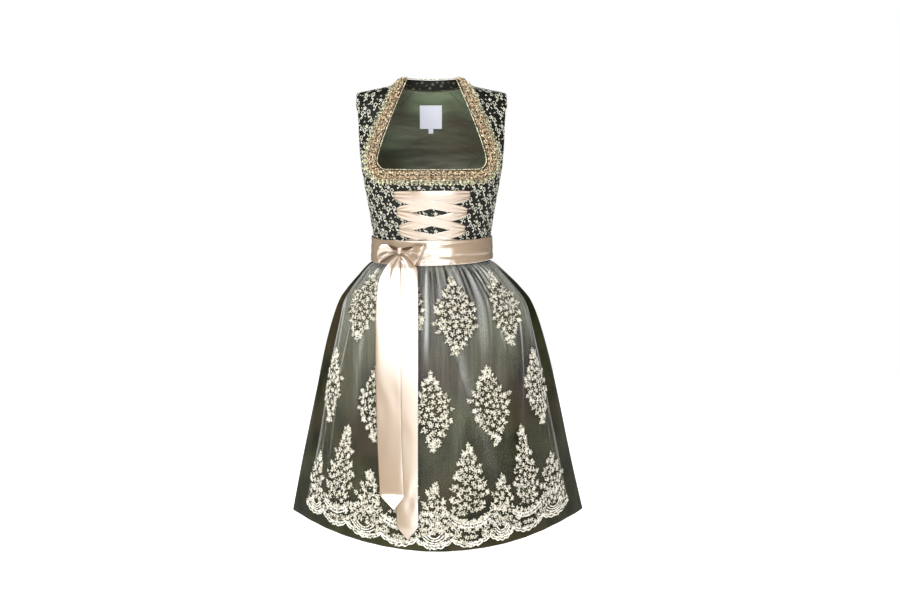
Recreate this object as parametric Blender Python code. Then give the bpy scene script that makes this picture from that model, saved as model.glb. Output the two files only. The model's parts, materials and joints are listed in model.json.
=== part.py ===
"""A sleeveless dirndl dress with a lace apron, a ribbon belt and its bow, open and hollow as it is worn.

The origin lies midway between the shoulder straps, level with the neck points. +X is the viewer's right,
the front faces -Y and +Z is up. Every size below is in millimetres.

The panels are read from two closed forms, one for the bodice and one for the skirt. A place on a form is
a height and a turn: 0 degrees at the centre front, 90 at the side on +X and 180 at the centre back.
What lies on a panel is made from the panel's own points, moved out.
"""

from collections import namedtuple
from math import asin, acos, cos, degrees, pi, radians, sin, sqrt

import bmesh
import bpy
from mathutils import Vector

MM = 0.001

# Heights of the main lines of the cut.
NECK_POINT = 4.0
SHOULDER_TIP = -29.0
NECKLINE_BOTTOM = -190.0
UNDERARM = -192.0
WAIST = -372.0
BELT_TOP = -345.0
BELT_BOTTOM = -399.0
APRON_END = -950.0
HEM = -980.0

# Cloth thicknesses, and the clearances that keep neighbours apart.
BODICE_CLOTH = 1.6
SKIRT_CLOTH = 1.2
LINING_CLOTH = 1.0
APRON_CLOTH = 1.0
RIBBON = 1.0
LACE = 1.3
SEAM_HALF = 0.2
CLEAR = 0.4
LINING_REST = 0.8
APRON_REST = 0.7

# Neckline: half widths at the neck points and at its foot, its corner and the control of its side curve.
NECK_HALF = 66.0
NECK_CORNER_X = 99.5
NECK_CORNER_RADIUS = 20.0
NECK_SIDE_CONTROL = (119.0, -146.0)
BACK_NECK_HEIGHT = 2.0
BRAID_WIDTH = 20.5
EDGING_WIDTH = 11.0
EDGING_SCALLOP = 2.0
TRIM_LIFT = 1.2
NECK_COLUMNS = 5
LABEL_REST = 1.5

# Armhole: how far its oval reaches to the front and to the back of the side line.
ARMHOLE_REACH = 40.0

Section = namedtuple("Section", "height half front back point lean")
Drape = namedtuple("Drape", "height gather fold")
Edge = namedtuple("Edge", "height left right")
Seam = namedtuple("Seam", "height x")
Anchor = namedtuple("Anchor", "height x")
Motif = namedtuple("Motif", "name turn centre half_turn half_height lobes")
Spray = namedtuple("Spray", "name turn half_turn tip lobes")
Strip = namedtuple("Strip", "height left right")
Loop = namedtuple("Loop", "name side top_reach foot_reach top foot puff")
Tail = namedtuple("Tail", "name edges tip lift belt_lift")

BODICE_FORM = (
    Section(6.0, 57.0, 20.0, 46.0, 1.0, 0.0),
    Section(4.0, 66.0, 25.0, 48.0, 1.0, 0.0),
    Section(0.0, 73.0, 30.0, 51.0, 1.0, 0.0),
    Section(-5.0, 80.0, 34.0, 53.0, 1.0, 0.0),
    Section(-12.0, 92.0, 39.0, 56.0, 1.0, 0.0),
    Section(-20.0, 128.0, 45.0, 60.0, 1.0, 0.0),
    Section(-29.0, 165.5, 51.0, 64.0, 1.0, 0.0),
    Section(-60.0, 183.0, 70.0, 80.0, 1.0, 0.0),
    Section(-110.0, 176.0, 96.0, 96.0, 1.0, 0.0),
    Section(-150.0, 167.0, 112.0, 103.0, 1.0, 0.0),
    Section(-175.0, 160.5, 119.0, 105.0, 1.0, 0.0),
    Section(-192.0, 156.5, 122.0, 105.0, 1.0, 0.0),
    Section(-228.0, 150.5, 122.0, 101.0, 1.0, 0.0),
    Section(-281.0, 141.0, 115.0, 94.0, 1.0, 0.0),
    Section(-335.0, 132.8, 107.0, 90.0, 1.0, 0.0),
    Section(WAIST, 127.0, 103.0, 88.0, 1.0, 0.0),
)

SKIRT_FORM = (
    Section(WAIST, 127.0, 103.0, 88.0, 1.0, 0.0),
    Section(-388.0, 128.0, 104.0, 89.0, 1.0, 0.0),
    Section(-399.0, 131.0, 106.5, 91.0, 1.0, 0.2),
    Section(-404.0, 140.0, 111.0, 95.0, 1.0, 0.5),
    Section(-417.0, 154.5, 119.0, 104.0, 1.02, 1.5),
    Section(-430.0, 167.0, 127.0, 112.0, 1.05, 3.0),
    Section(-458.0, 193.0, 144.0, 129.0, 1.12, 5.0),
    Section(-485.0, 214.0, 157.0, 142.0, 1.20, 7.0),
    Section(-525.0, 231.0, 171.0, 155.0, 1.30, 8.5),
    Section(-595.0, 251.5, 190.0, 172.0, 1.42, 9.0),
    Section(-700.0, 275.5, 216.0, 194.0, 1.58, 9.5),
    Section(-834.0, 305.0, 250.0, 222.0, 1.78, 11.0),
    Section(HEM, 337.0, 289.0, 252.0, 2.0, 13.0),
)

# How far the gathers of the waist and the soft folds of the skirt stand in and out.
SKIRT_DRAPE = (
    Drape(WAIST, 0.0, 0.0),
    Drape(-399.0, 0.4, 0.0),
    Drape(-420.0, 2.0, 0.0),
    Drape(-458.0, 2.4, 0.6),
    Drape(-525.0, 1.4, 1.4),
    Drape(-620.0, 0.0, 2.0),
    Drape(HEM, 0.0, 2.4),
)
GATHERS = 20
STEPS_PER_GATHER = 4
SOFT_FOLDS = 14
SKIRT_ROWS = (-372.4, -399.0, -404.0, -418.0, -438.0, -462.0, -490.0, -535.0, -610.0, -780.0, HEM)

# The apron's side edges, as turns in degrees from the centre front.
APRON_EDGES = (
    Edge(WAIST, -76.4, 76.4),
    Edge(-458.0, -76.0, 76.0),
    Edge(-487.0, -73.5, 74.5),
    Edge(-546.0, -72.2, 72.5),
    Edge(-704.0, -74.5, 74.5),
    Edge(-821.0, -77.4, 77.6),
    Edge(-960.0, -80.4, 80.2),
)

# The princess seams of the front, which also carry the lacing.
FRONT_SEAM = (
    Seam(-190.0, 91.0),
    Seam(-224.0, 84.0),
    Seam(-250.0, 79.5),
    Seam(-281.0, 75.0),
    Seam(-335.0, 68.5),
    Seam(WAIST, 63.0),
)
BACK_SEAM = (
    Seam(-128.0, 152.0),
    Seam(-160.0, 126.0),
    Seam(-200.0, 92.0),
    Seam(-260.0, 66.0),
    Seam(WAIST, 46.0),
)

# Lacing: a ribbon crosses the front from seam to seam between these anchors, at the left and the right.
LACING_WIDTH = 19.0
LACING_HALF = 80.0
LACING_BAR_HEIGHT = -245.0
LACING_ANCHORS = (
    Anchor(-246.0, 79.0),
    Anchor(-282.0, 74.5),
    Anchor(-320.5, 70.0),
    Anchor(-357.0, 66.0),
)

# The bow is tied at the wearer's right. Its frame lies on the belt: along it, up, and out from it.
BELT_HALF = 134.6
BELT_FRONT = 112.5
BELT_BACK = 94.5
BELT_FLARE = 1.6
BOW_X = -70.0
BOW_HEIGHT = -365.0
KNOT_SIZE = (15.0, 21.0, 14.0)
KNOT_SIDES = 10
LOOP_SEAT = 1.5
TAIL_TIP = 27.0
LEFT_TAIL = (
    Strip(-377.0, -76.0, -67.0),
    Strip(-390.0, -91.0, -68.0),
    Strip(-405.0, -103.0, -68.0),
    Strip(-430.0, -111.5, -68.0),
    Strip(-470.0, -114.5, -68.0),
    Strip(-700.0, -115.5, -66.0),
    Strip(-866.0, -106.5, -61.0),
)
RIGHT_TAIL = (
    Strip(-377.0, -73.0, -64.0),
    Strip(-385.0, -74.5, -48.0),
    Strip(-395.0, -76.0, -36.0),
    Strip(-410.0, -77.0, -31.0),
    Strip(-470.0, -79.0, -30.0),
    Strip(-918.0, -77.0, -30.0),
)

# Lace border: lobes across the apron between these shares of its width, each with a few picots.
LOBE_SIDES = (0.0, 0.078, 0.171, 0.299, 0.425, 0.546, 0.679, 0.765, 0.880, 1.0)
PICOTS = 5
LOBE_FOOT = -975.0
FOOT_RISE = 20.0
LOBE_RISE = 14.0
PICOT_RISE = 3.0
BORDER_TOP = -905.0
SWAG_DROP = 10.0
LEAF_DEPTH = 0.22
LEAST_TURN = 0.4

# Lace motifs. Turns and half turns are in degrees, heights in millimetres.
MOTIFS = (
    Motif("motif_top_1", -54.0, -486.0, 17.0, 75.0, 4),
    Motif("motif_top_2", -14.5, -485.0, 9.0, 76.0, 3),
    Motif("motif_top_3", 12.5, -501.0, 14.5, 79.0, 4),
    Motif("motif_top_4", 50.0, -492.0, 14.5, 75.0, 4),
    Motif("motif_middle_1", -66.0, -667.0, 9.0, 78.0, 3),
    Motif("motif_middle_2", -34.5, -688.0, 12.4, 75.0, 4),
    Motif("motif_middle_3", -2.4, -696.0, 11.2, 78.0, 4),
    Motif("motif_middle_4", 32.5, -690.0, 13.0, 80.0, 4),
    Motif("motif_middle_5", 65.0, -668.0, 10.0, 80.0, 4),
)
SPRAYS = (
    Spray("spray_1", -74.0, 5.0, -821.0, 3),
    Spray("spray_2", -57.0, 10.0, -745.0, 4),
    Spray("spray_3", -38.7, 7.5, -830.0, 3),
    Spray("spray_4", -20.0, 10.0, -760.0, 4),
    Spray("spray_5", -2.3, 7.5, -843.0, 3),
    Spray("spray_6", 17.0, 11.0, -766.0, 4),
    Spray("spray_7", 36.3, 6.2, -839.0, 3),
    Spray("spray_8", 51.5, 8.3, -745.0, 4),
    Spray("spray_9", 70.5, 8.5, -822.0, 3),
)

# sRGB colour, roughness and metallic share of each cloth.
FINISHES = {
    "brocade": ((0.24, 0.27, 0.21), 0.65, 0.0),
    "lining": ((0.33, 0.38, 0.28), 0.55, 0.0),
    "label": ((0.85, 0.86, 0.90), 0.60, 0.0),
    "braid": ((0.74, 0.56, 0.42), 0.45, 0.3),
    "edging": ((0.90, 0.85, 0.68), 0.60, 0.1),
    "satin": ((0.90, 0.82, 0.72), 0.30, 0.0),
    "taffeta": ((0.28, 0.31, 0.22), 0.45, 0.0),
    "tulle": ((0.40, 0.43, 0.38), 0.70, 0.0),
    "lace": ((0.92, 0.89, 0.75), 0.80, 0.0),
}


def to_linear(channel):
    return channel / 12.92 if channel <= 0.04045 else ((channel + 0.055) / 1.055) ** 2.4


def make_materials():
    """One Principled material for each cloth."""
    made = {}
    for name, (colour, roughness, metallic) in FINISHES.items():
        material = bpy.data.materials.new(name)
        material.use_nodes = True
        shader = material.node_tree.nodes["Principled BSDF"]
        shader.inputs["Base Color"].default_value = [to_linear(c) for c in colour] + [1.0]
        shader.inputs["Roughness"].default_value = roughness
        shader.inputs["Metallic"].default_value = metallic
        made[name] = material
    return made


def profile(table, column):
    """A smooth curve through one column of a table that runs downwards, with no overshoot."""
    rows = sorted(table, key=lambda row: row.height)
    heights = [row.height for row in rows]
    values = [getattr(row, column) for row in rows]
    steps = [b - a for a, b in zip(heights, heights[1:])]
    rates = [(b - a) / step for a, b, step in zip(values, values[1:], steps)]
    slopes = [rates[0]]
    for before, after in zip(rates, rates[1:]):
        slopes.append(2 * before * after / (before + after) if before * after > 0 else 0.0)
    slopes.append(rates[-1])

    def read(height):
        height = min(max(height, heights[0]), heights[-1])
        k = 0
        while k < len(steps) - 1 and height > heights[k + 1]:
            k += 1
        t = (height - heights[k]) / steps[k]
        rise = (2 * t**3 - 3 * t**2 + 1) * values[k] + (3 * t**2 - 2 * t**3) * values[k + 1]
        bend = (t**3 - 2 * t**2 + t) * slopes[k] + (t**3 - t**2) * slopes[k + 1]
        return rise + bend * steps[k]

    return read


class Form:
    """A closed outline at every height: half width, front and back depth, and lean to one side.

    A point of 1 is an ellipse. Towards 2 the outline draws to a point at its two sides, like a lens,
    and the turns spread evenly across its width.
    """

    def __init__(self, sections, fold=None):
        self.read = {name: profile(sections, name) for name in Section._fields[1:]}
        self.fold = fold

    def across(self, height, turn):
        """The share of the half width that a turn reaches, and whether it lies at the front."""
        turn = (turn + 180.0) % 360.0 - 180.0
        front = abs(turn) <= 90.0
        from_middle = turn if front else (180.0 - turn if turn > 0 else -180.0 - turn)
        even = self.read["point"](height) - 1.0
        return (1.0 - even) * sin(radians(from_middle)) + even * from_middle / 90.0, front

    def outline(self, height, turn):
        across, front = self.across(height, turn)
        depth = max(0.0, 1.0 - across * across) ** (self.read["point"](height) / 2)
        reach = -self.read["front"](height) if front else self.read["back"](height)
        return Vector((self.read["lean"](height) + self.read["half"](height) * across, reach * depth, height))

    def surface(self, height, turn):
        place = self.outline(height, turn)
        if self.fold is None:
            return place
        along = self.outline(height, turn + 0.5) - self.outline(height, turn - 0.5)
        out = Vector((along.y, -along.x, 0.0)).normalized()
        return place + out * self.fold(height, turn)

    def normal(self, height, turn):
        along = self.surface(height, turn + 0.5) - self.surface(height, turn - 0.5)
        up = self.surface(height + 1.0, turn) - self.surface(height - 1.0, turn)
        return along.cross(up).normalized()

    def point(self, height, turn, lift=0.0):
        return self.surface(height, turn) + self.normal(height, turn) * lift

    def turn_at(self, height, x):
        """The turn at which the front of the form has this x, found by halving."""
        reach = (x - self.read["lean"](height)) / self.read["half"](height)
        low, high = -90.0, 90.0
        for _ in range(40):
            middle = (low + high) / 2
            if self.across(height, middle)[0] < reach:
                low = middle
            else:
                high = middle
        return low


gather_depth = profile(SKIRT_DRAPE, "gather")
fold_depth = profile(SKIRT_DRAPE, "fold")


def skirt_fold(height, turn):
    """How far the cloth stands out from the skirt's form: gathers at the waist, soft folds below."""
    angle = radians(turn)
    gather = gather_depth(height) * cos(GATHERS * angle)
    strength = 1.0 + 0.35 * sin(2.0 * angle + 0.8)
    fold = fold_depth(height) * strength * cos(SOFT_FOLDS * angle + 0.6 * sin(3.0 * angle + 0.4))
    return gather + fold


BODICE = Form(BODICE_FORM)
SKIRT = Form(SKIRT_FORM, skirt_fold)
SKIRT_PLAIN = Form(SKIRT_FORM)


def solid(name, outer, inner, material, wrap=False):
    """A closed wall between two grids of points. With wrap, the last column joins the first."""
    rows, columns = len(outer), len(outer[0])
    mesh = bmesh.new()
    skins = [[[mesh.verts.new(place * MM) for place in row] for row in grid] for grid in (outer, inner)]
    last = columns if wrap else columns - 1

    def quad(a, b, c, d):
        mesh.faces.new((a, b, c))
        mesh.faces.new((a, c, d))

    for i in range(rows - 1):
        for j in range(last):
            k = (j + 1) % columns
            for skin in skins:
                quad(skin[i][j], skin[i + 1][j], skin[i + 1][k], skin[i][k])
    for i in (0, rows - 1):
        for j in range(last):
            k = (j + 1) % columns
            quad(skins[0][i][j], skins[0][i][k], skins[1][i][k], skins[1][i][j])
    if not wrap:
        for j in (0, columns - 1):
            for i in range(rows - 1):
                quad(skins[0][i][j], skins[0][i + 1][j], skins[1][i + 1][j], skins[1][i][j])
    return finished(name, mesh, material)


def closed(name, rings, material):
    """A filled body through closed rings, the first and last of which draw in to one point."""
    mesh = bmesh.new()
    rings = [[mesh.verts.new(place * MM) for place in ring] for ring in rings]
    count = len(rings[0])
    for lower, upper in zip(rings, rings[1:]):
        for k in range(count):
            mesh.faces.new((lower[k], lower[(k + 1) % count], upper[(k + 1) % count]))
            mesh.faces.new((lower[k], upper[(k + 1) % count], upper[k]))
    return finished(name, mesh, material)


def finished(name, mesh, material):
    bmesh.ops.remove_doubles(mesh, verts=mesh.verts, dist=0.00001)
    bmesh.ops.dissolve_degenerate(mesh, edges=mesh.edges, dist=0.00001)
    bmesh.ops.recalc_face_normals(mesh, faces=mesh.faces)
    data = bpy.data.meshes.new(name)
    mesh.to_mesh(data)
    mesh.free()
    data.materials.append(material)
    data.shade_smooth()
    data.set_sharp_from_angle(angle=radians(40))
    piece = bpy.data.objects.new(name, data)
    bpy.context.scene.collection.objects.link(piece)
    return piece


def between(a, b, t):
    return tuple(p + (q - p) * t for p, q in zip(a, b))


def spread(start, end, count):
    return [start + (end - start) * k / (count - 1) for k in range(count)]


def patch(left, right, bottom, top):
    """A grid of places inside four edges, each a list of (height, turn) that meets its neighbours."""
    rows, columns = len(left), len(bottom)
    grid = []
    for i in range(rows):
        v = i / (rows - 1)
        row = []
        for j in range(columns):
            u = j / (columns - 1)
            sides = between(left[i], right[i], u)
            ends = between(bottom[j], top[j], v)
            corners = between(between(bottom[0], bottom[-1], u), between(top[0], top[-1], u), v)
            row.append(tuple(s + e - c for s, e, c in zip(sides, ends, corners)))
        grid.append(row)
    return grid


def inset(form, grid, ends=True):
    """Draws a grid's side edges, and its ends too if asked, in by half a seam's gap."""
    rows, columns = len(grid), len(grid[0])

    def nearer(place, towards):
        distance = (form.surface(*place) - form.surface(*towards)).length
        return between(place, towards, SEAM_HALF / distance)

    for i in range(rows):
        grid[i][0] = nearer(grid[i][0], grid[i][1])
        grid[i][-1] = nearer(grid[i][-1], grid[i][-2])
    for j in range(columns if ends else 0):
        grid[0][j] = nearer(grid[0][j], grid[1][j])
        grid[-1][j] = nearer(grid[-1][j], grid[-2][j])
    return grid


def mirrored(grid):
    return [[(height, -turn) for height, turn in row] for row in grid]


def lifted(form, grid, lift):
    return [[form.point(height, turn, lift) for height, turn in row] for row in grid]


def panel(name, form, grid, outside, thickness, material):
    """A wall of cloth over a grid of places, from its outside face inwards."""
    return solid(name, lifted(form, grid, outside), lifted(form, grid, outside - thickness), material)


def ridge_height(x):
    """The height at which the shoulder line is this far out, found by halving."""
    low, high = SHOULDER_TIP, BODICE_FORM[0].height
    for _ in range(40):
        middle = (low + high) / 2
        if BODICE.read["half"](middle) > x:
            low = middle
        else:
            high = middle
    return low


def neckline(step, offset):
    """The front neckline from the centre (0) by its corner (1 to 2) to the shoulder (3), moved outwards."""
    radius = NECK_CORNER_RADIUS + offset
    corner_height = NECKLINE_BOTTOM + NECK_CORNER_RADIUS
    if step <= 1:
        return NECK_CORNER_X * step, corner_height - radius
    if step <= 2:
        angle = (step - 1) * pi / 2
        return NECK_CORNER_X + radius * sin(angle), corner_height - radius * cos(angle)
    t = step - 2
    start = (NECK_CORNER_X + radius, corner_height)
    control = (NECK_SIDE_CONTROL[0] + offset, NECK_SIDE_CONTROL[1] + 0.3 * offset)
    end = (NECK_HALF + offset, ridge_height(NECK_HALF + offset))
    return tuple((1 - t) ** 2 * a + 2 * t * (1 - t) * b + t**2 * c for a, b, c in zip(start, control, end))


def front_place(x, height):
    return height, BODICE.turn_at(height, x)


def armhole_turn(height, front=True):
    """Where the armhole's oval cuts the form, at the front or at the back."""
    middle = (SHOULDER_TIP + UNDERARM) / 2
    half = (SHOULDER_TIP - UNDERARM) / 2
    reach = ARMHOLE_REACH * sqrt(max(0.0, 1 - ((height - middle) / half) ** 2))
    depth = BODICE.read["front" if front else "back"](height)
    turn = degrees(acos(min(1.0, reach / depth)))
    return turn if front else 180 - turn


seam_x = profile(FRONT_SEAM, "x")
back_seam_x = profile(BACK_SEAM, "x")

# Rows of the bodice panels: up to the neckline, round its corner, and up the strap.
LOWER_ROWS = (WAIST, -345.0, -310.0, -278.0, -250.0, -220.0, NECKLINE_BOTTOM)
CORNER_STEPS = (1.2, 1.5, 1.8)
STRAP_STEPS = (2.1, 2.25, 2.4, 2.55, 2.68, 2.78, 2.86, 2.92, 2.96, 3.0)
ARMHOLE_ROWS = (-190.0, -184.0, -175.0, -160.0, -140.0, -118.0, -95.0, -75.0, -60.0, -50.0, -42.0, -35.0, -29.0)
TRIM_SIDES = (0.0, BRAID_WIDTH, BRAID_WIDTH + EDGING_WIDTH)


def centre_front(right):
    rows = [(height, BODICE.turn_at(height, seam_x(height))) for height in LOWER_ROWS]
    centre = [(height, 0.0) for height in LOWER_ROWS]
    bottom = [between(centre[0], rows[0], t) for t in spread(0, 1, 5)]
    top = [between(centre[-1], rows[-1], t) for t in spread(0, 1, 5)]
    grid = inset(BODICE, patch(centre, rows, bottom, top))
    return grid if right else mirrored(grid)


def side_front(right):
    """A side front with its strap. Its inner columns follow the neckline, as the trim does."""
    inner = [[(seam_x(height) + side, height) for side in TRIM_SIDES] for height in LOWER_ROWS]
    for step in CORNER_STEPS:
        x, height = neckline(step, 0.0)
        inner.append([(x + side, height) for side in TRIM_SIDES])
    inner += [[neckline(step, side) for side in TRIM_SIDES] for step in STRAP_STEPS]
    outer = [(height, 90.0) for height in LOWER_ROWS[:-1] + (UNDERARM,)]
    outer += [(height, armhole_turn(height)) for height in ARMHOLE_ROWS]
    grid = []
    for places, end in zip(inner, outer):
        row = [front_place(*place) for place in places]
        grid.append(row + [between(row[-1], end, t) for t in (0.33, 0.67, 1.0)])
    grid = inset(BODICE, grid)
    return grid if right else mirrored(grid)


BACK_SEAM_ROWS = (WAIST, -330.0, -285.0, -240.0, -205.0, -175.0, -150.0, -128.0)
BACK_ARM_ROWS = (-105.0, -80.0, -60.0, -45.0, -36.0, SHOULDER_TIP)
SHOULDER_ROWS = (-24.0, -18.0, -11.0, -4.0, NECK_POINT)


def back_seam_place(height):
    if height >= BACK_SEAM_ROWS[-1]:
        return height, armhole_turn(height, front=False)
    return height, 180 - degrees(asin(back_seam_x(height) / BODICE.read["half"](height)))


def back_centre():
    """The centre back, from princess seam to princess seam, with both back straps."""
    right = [back_seam_place(height) for height in BACK_SEAM_ROWS + BACK_ARM_ROWS]
    right += [(height, 90.0) for height in SHOULDER_ROWS]
    left = [(height, 360 - turn) for height, turn in right]
    half = [back_neck_place(t) for t in spread(0, 1, NECK_COLUMNS)]
    top = half + [(height, 360 - turn) for height, turn in reversed(half[:-1])]
    bottom = [between(right[0], left[0], t) for t in spread(0, 1, len(top))]
    return inset(BODICE, patch(right, left, bottom, top))


def back_neck_place(t, drop=0.0):
    """The back neck edge, from the neck point at +X (0) to the centre back (1), moved down."""
    start = ridge_height(NECK_HALF + drop)
    return start + (BACK_NECK_HEIGHT - drop - start) * t, 90 + 90 * t


def side_back(right):
    """A side back, from the side seam to the princess seam, with the foot of the armhole as its top."""
    seam = [back_seam_place(height) for height in BACK_SEAM_ROWS]
    side = [(height, 90.0) for height in spread(WAIST, UNDERARM, len(seam))]
    middle, half = (SHOULDER_TIP + UNDERARM) / 2, (SHOULDER_TIP - UNDERARM) / 2
    last = acos((middle - BACK_SEAM_ROWS[-1]) / half)
    heights = [middle - half * cos(angle) for angle in spread(0, last, 6)]
    top = [(height, armhole_turn(height, front=False)) for height in heights]
    bottom = [between(side[0], seam[0], t) for t in spread(0, 1, 6)]
    grid = inset(BODICE, patch(side, seam, bottom, top))
    return grid if right else mirrored(grid)


def make_bodice(finish):
    for side, right in (("left", False), ("right", True)):
        panel(f"centre_front_{side}", BODICE, centre_front(right), 0.0, BODICE_CLOTH, finish["brocade"])
        panel(f"side_front_{side}", BODICE, side_front(right), 0.0, BODICE_CLOTH, finish["brocade"])
        panel(f"side_back_{side}", BODICE, side_back(right), 0.0, BODICE_CLOTH, finish["brocade"])
    panel("centre_back", BODICE, back_centre(), 0.0, BODICE_CLOTH, finish["brocade"])


def make_lining(finish):
    """The back's lining, cut like the back, with the neck facing, the bare label and its tab on it."""
    inside = -BODICE_CLOTH - LINING_REST
    panel("lining_centre", BODICE, back_centre(), inside, LINING_CLOTH, finish["lining"])
    for side, right in (("left", False), ("right", True)):
        panel(f"lining_{side}", BODICE, side_back(right), inside, LINING_CLOTH, finish["lining"])
    on_lining = inside - LINING_CLOTH - LABEL_REST
    facing = back_centre()[-3:]
    facing_out = inside - LINING_CLOTH - CLEAR
    panel("back_neck_facing", BODICE, facing, facing_out, LINING_CLOTH, finish["brocade"])

    def tag(name, half, top_height, bottom_height, centre, columns):
        grid = []
        for height in spread(bottom_height, top_height, 4):
            reach = BODICE.read["half"](height)
            grid.append([(height, 180 - degrees(asin((centre + x) / reach))) for x in spread(-half, half, columns)])
        panel(name, BODICE, grid, on_lining, LINING_CLOTH, finish["label"])

    tag("neck_label", 25.5, -52.0, -106.0, -2.0, 5)
    tag("size_tab", 5.5, -106.5, -117.0, -2.0, 2)


def trim_grid(steps, offsets, right):
    grid = []
    for step in steps:
        row = [front_place(*neckline(step, offset)) for offset in offsets(step)]
        grid.append(row if right else [(height, -turn) for height, turn in row])
    return grid


TRIM_STEPS = tuple(spread(0.004, 1, 9) + spread(1, 2, 6)[1:]) + STRAP_STEPS


def braid_sides(step):
    return (CLEAR, 4.0, BRAID_WIDTH - 4.0, BRAID_WIDTH)


def edging_sides(step):
    wave = EDGING_SCALLOP * (TRIM_STEPS.index(step) % 2)
    return (BRAID_WIDTH + CLEAR, BRAID_WIDTH + EDGING_WIDTH / 2, BRAID_WIDTH + EDGING_WIDTH + wave)


def make_trim(finish):
    """The neckline's braid with the lace edging beside it, from the centre front to each shoulder."""
    for name, sides, heights, cloth in (
        ("neck_braid", braid_sides, (2.6, 3.8, 3.8, 2.6), "braid"),
        ("neck_edging", edging_sides, (2.4, 2.4, 2.2), "edging"),
    ):
        for side, right in (("left", False), ("right", True)):
            grid = trim_grid(TRIM_STEPS, sides, right)
            outer = [[BODICE.point(*place, lift) for place, lift in zip(row, heights)] for row in grid]
            solid(f"{name}_{side}", outer, lifted(BODICE, grid, TRIM_LIFT), finish[cloth])


def make_binding(finish):
    """The fine binding round the whole neck opening."""
    gap, size = 0.5, 2.0
    steps = spread(0, FRONT_SEAM[0].x / NECK_CORNER_X, 5) + list(CORNER_STEPS + STRAP_STEPS[:-1])

    def ring(offset):
        right = [front_place(*neckline(step, offset)) for step in steps]
        back = [back_neck_place(t, offset) for t in spread(0, 1, NECK_COLUMNS)]
        half = right + back
        return half + [(height, -turn) for height, turn in reversed(half[1:-1])]

    near, far = ring(-gap), ring(-gap - size)
    outer = [[BODICE.point(*place, 0.4) for place in near], [BODICE.point(*place, 0.4) for place in far]]
    inner = [[BODICE.point(*place, -1.6) for place in near], [BODICE.point(*place, -1.6) for place in far]]
    solid("neck_binding", outer, inner, finish["edging"], wrap=True)


def make_lacing(finish):
    """The ribbon laced across the front: a bar at the top, then strands that cross three times."""
    level = (0.7, 0.7 + RIBBON + CLEAR, 0.7 + 2 * (RIBBON + CLEAR))

    def strand(name, start, end, lift):
        run = Vector((end[0] - start[0], end[1] - start[1]))
        side = Vector((-run.y, run.x)).normalized() * LACING_WIDTH / 2
        grid = []
        for t in spread(0, 1, 13):
            x, height = start[0] + run.x * t, start[1] + run.y * t
            grid.append([front_place(x + side.x * s, height + side.y * s) for s in (-1, 0, 1)])
        panel(name, BODICE, grid, lift + RIBBON, RIBBON, finish["satin"])

    strand("lacing_bar", (-LACING_HALF, LACING_BAR_HEIGHT), (LACING_HALF, LACING_BAR_HEIGHT), level[2])
    for k, (upper, lower) in enumerate(zip(LACING_ANCHORS, LACING_ANCHORS[1:]), start=1):
        strand(f"lacing_over_{k}", (-upper.x, upper.height), (lower.x, lower.height), level[1])
        strand(f"lacing_under_{k}", (upper.x, upper.height), (-lower.x, lower.height), level[0])


def belt_point(height, turn, lift=0.0):
    angle = radians(turn)
    flare = BELT_FLARE * (BELT_TOP - height) / (BELT_TOP - BELT_BOTTOM)
    depth = BELT_FRONT if cos(angle) > 0 else BELT_BACK
    half = BELT_HALF + flare + lift
    return Vector((half * sin(angle), -(depth + flare + lift) * cos(angle), height))


def make_belt(finish):
    turns = [360 * k / 56 for k in range(56)]
    heights = (BELT_BOTTOM, BELT_TOP)
    outer = [[belt_point(height, turn) for turn in turns] for height in heights]
    inner = [[belt_point(height, turn, -RIBBON) for turn in turns] for height in heights]
    solid("belt", outer, inner, finish["satin"], wrap=True)


def bow_frame():
    """The knot's seat on the belt, with the directions along the belt, up, and outwards."""
    turn = degrees(asin(BOW_X / BELT_HALF))
    seat = belt_point(BOW_HEIGHT, turn)
    along = (belt_point(BOW_HEIGHT, turn + 1) - belt_point(BOW_HEIGHT, turn - 1)).normalized()
    up = Vector((0.0, 0.0, 1.0))
    return seat, along, up, along.cross(up)


LOOPS = (
    Loop("bow_loop_left", -1, 38.0, 43.0, 12.0, -30.0, 17.0),
    Loop("bow_loop_right", 1, 55.0, 29.0, 13.0, -31.0, 17.0),
)


def make_bow(finish):
    """The knot and the two loops, each a ribbon that leaves the knot, turns and comes back."""
    seat, along, up, out = bow_frame()
    wide, tall, deep = KNOT_SIZE

    def place(u, v, w):
        return seat + along * u + up * v + out * w

    rings = []
    for v in spread(-1, 1, 5):
        swell = 1 - 0.35 * abs(v) ** 2.5
        angles = [2 * pi * k / KNOT_SIDES for k in range(KNOT_SIDES)]
        half_wide, half_deep = wide / 2 * swell, deep / 2 * swell
        rings.append(
            [place(half_wide * cos(a), v * tall / 2, CLEAR + deep / 2 + half_deep * sin(a)) for a in angles]
        )
    middles = [[place(0.0, side * tall / 2, CLEAR + deep / 2)] * KNOT_SIDES for side in (-1, 1)]
    closed("bow_knot", [middles[0]] + rings + [middles[1]], finish["satin"])

    for loop in LOOPS:
        make_loop(loop, place, wide / 2 + CLEAR, finish["satin"])


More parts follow.
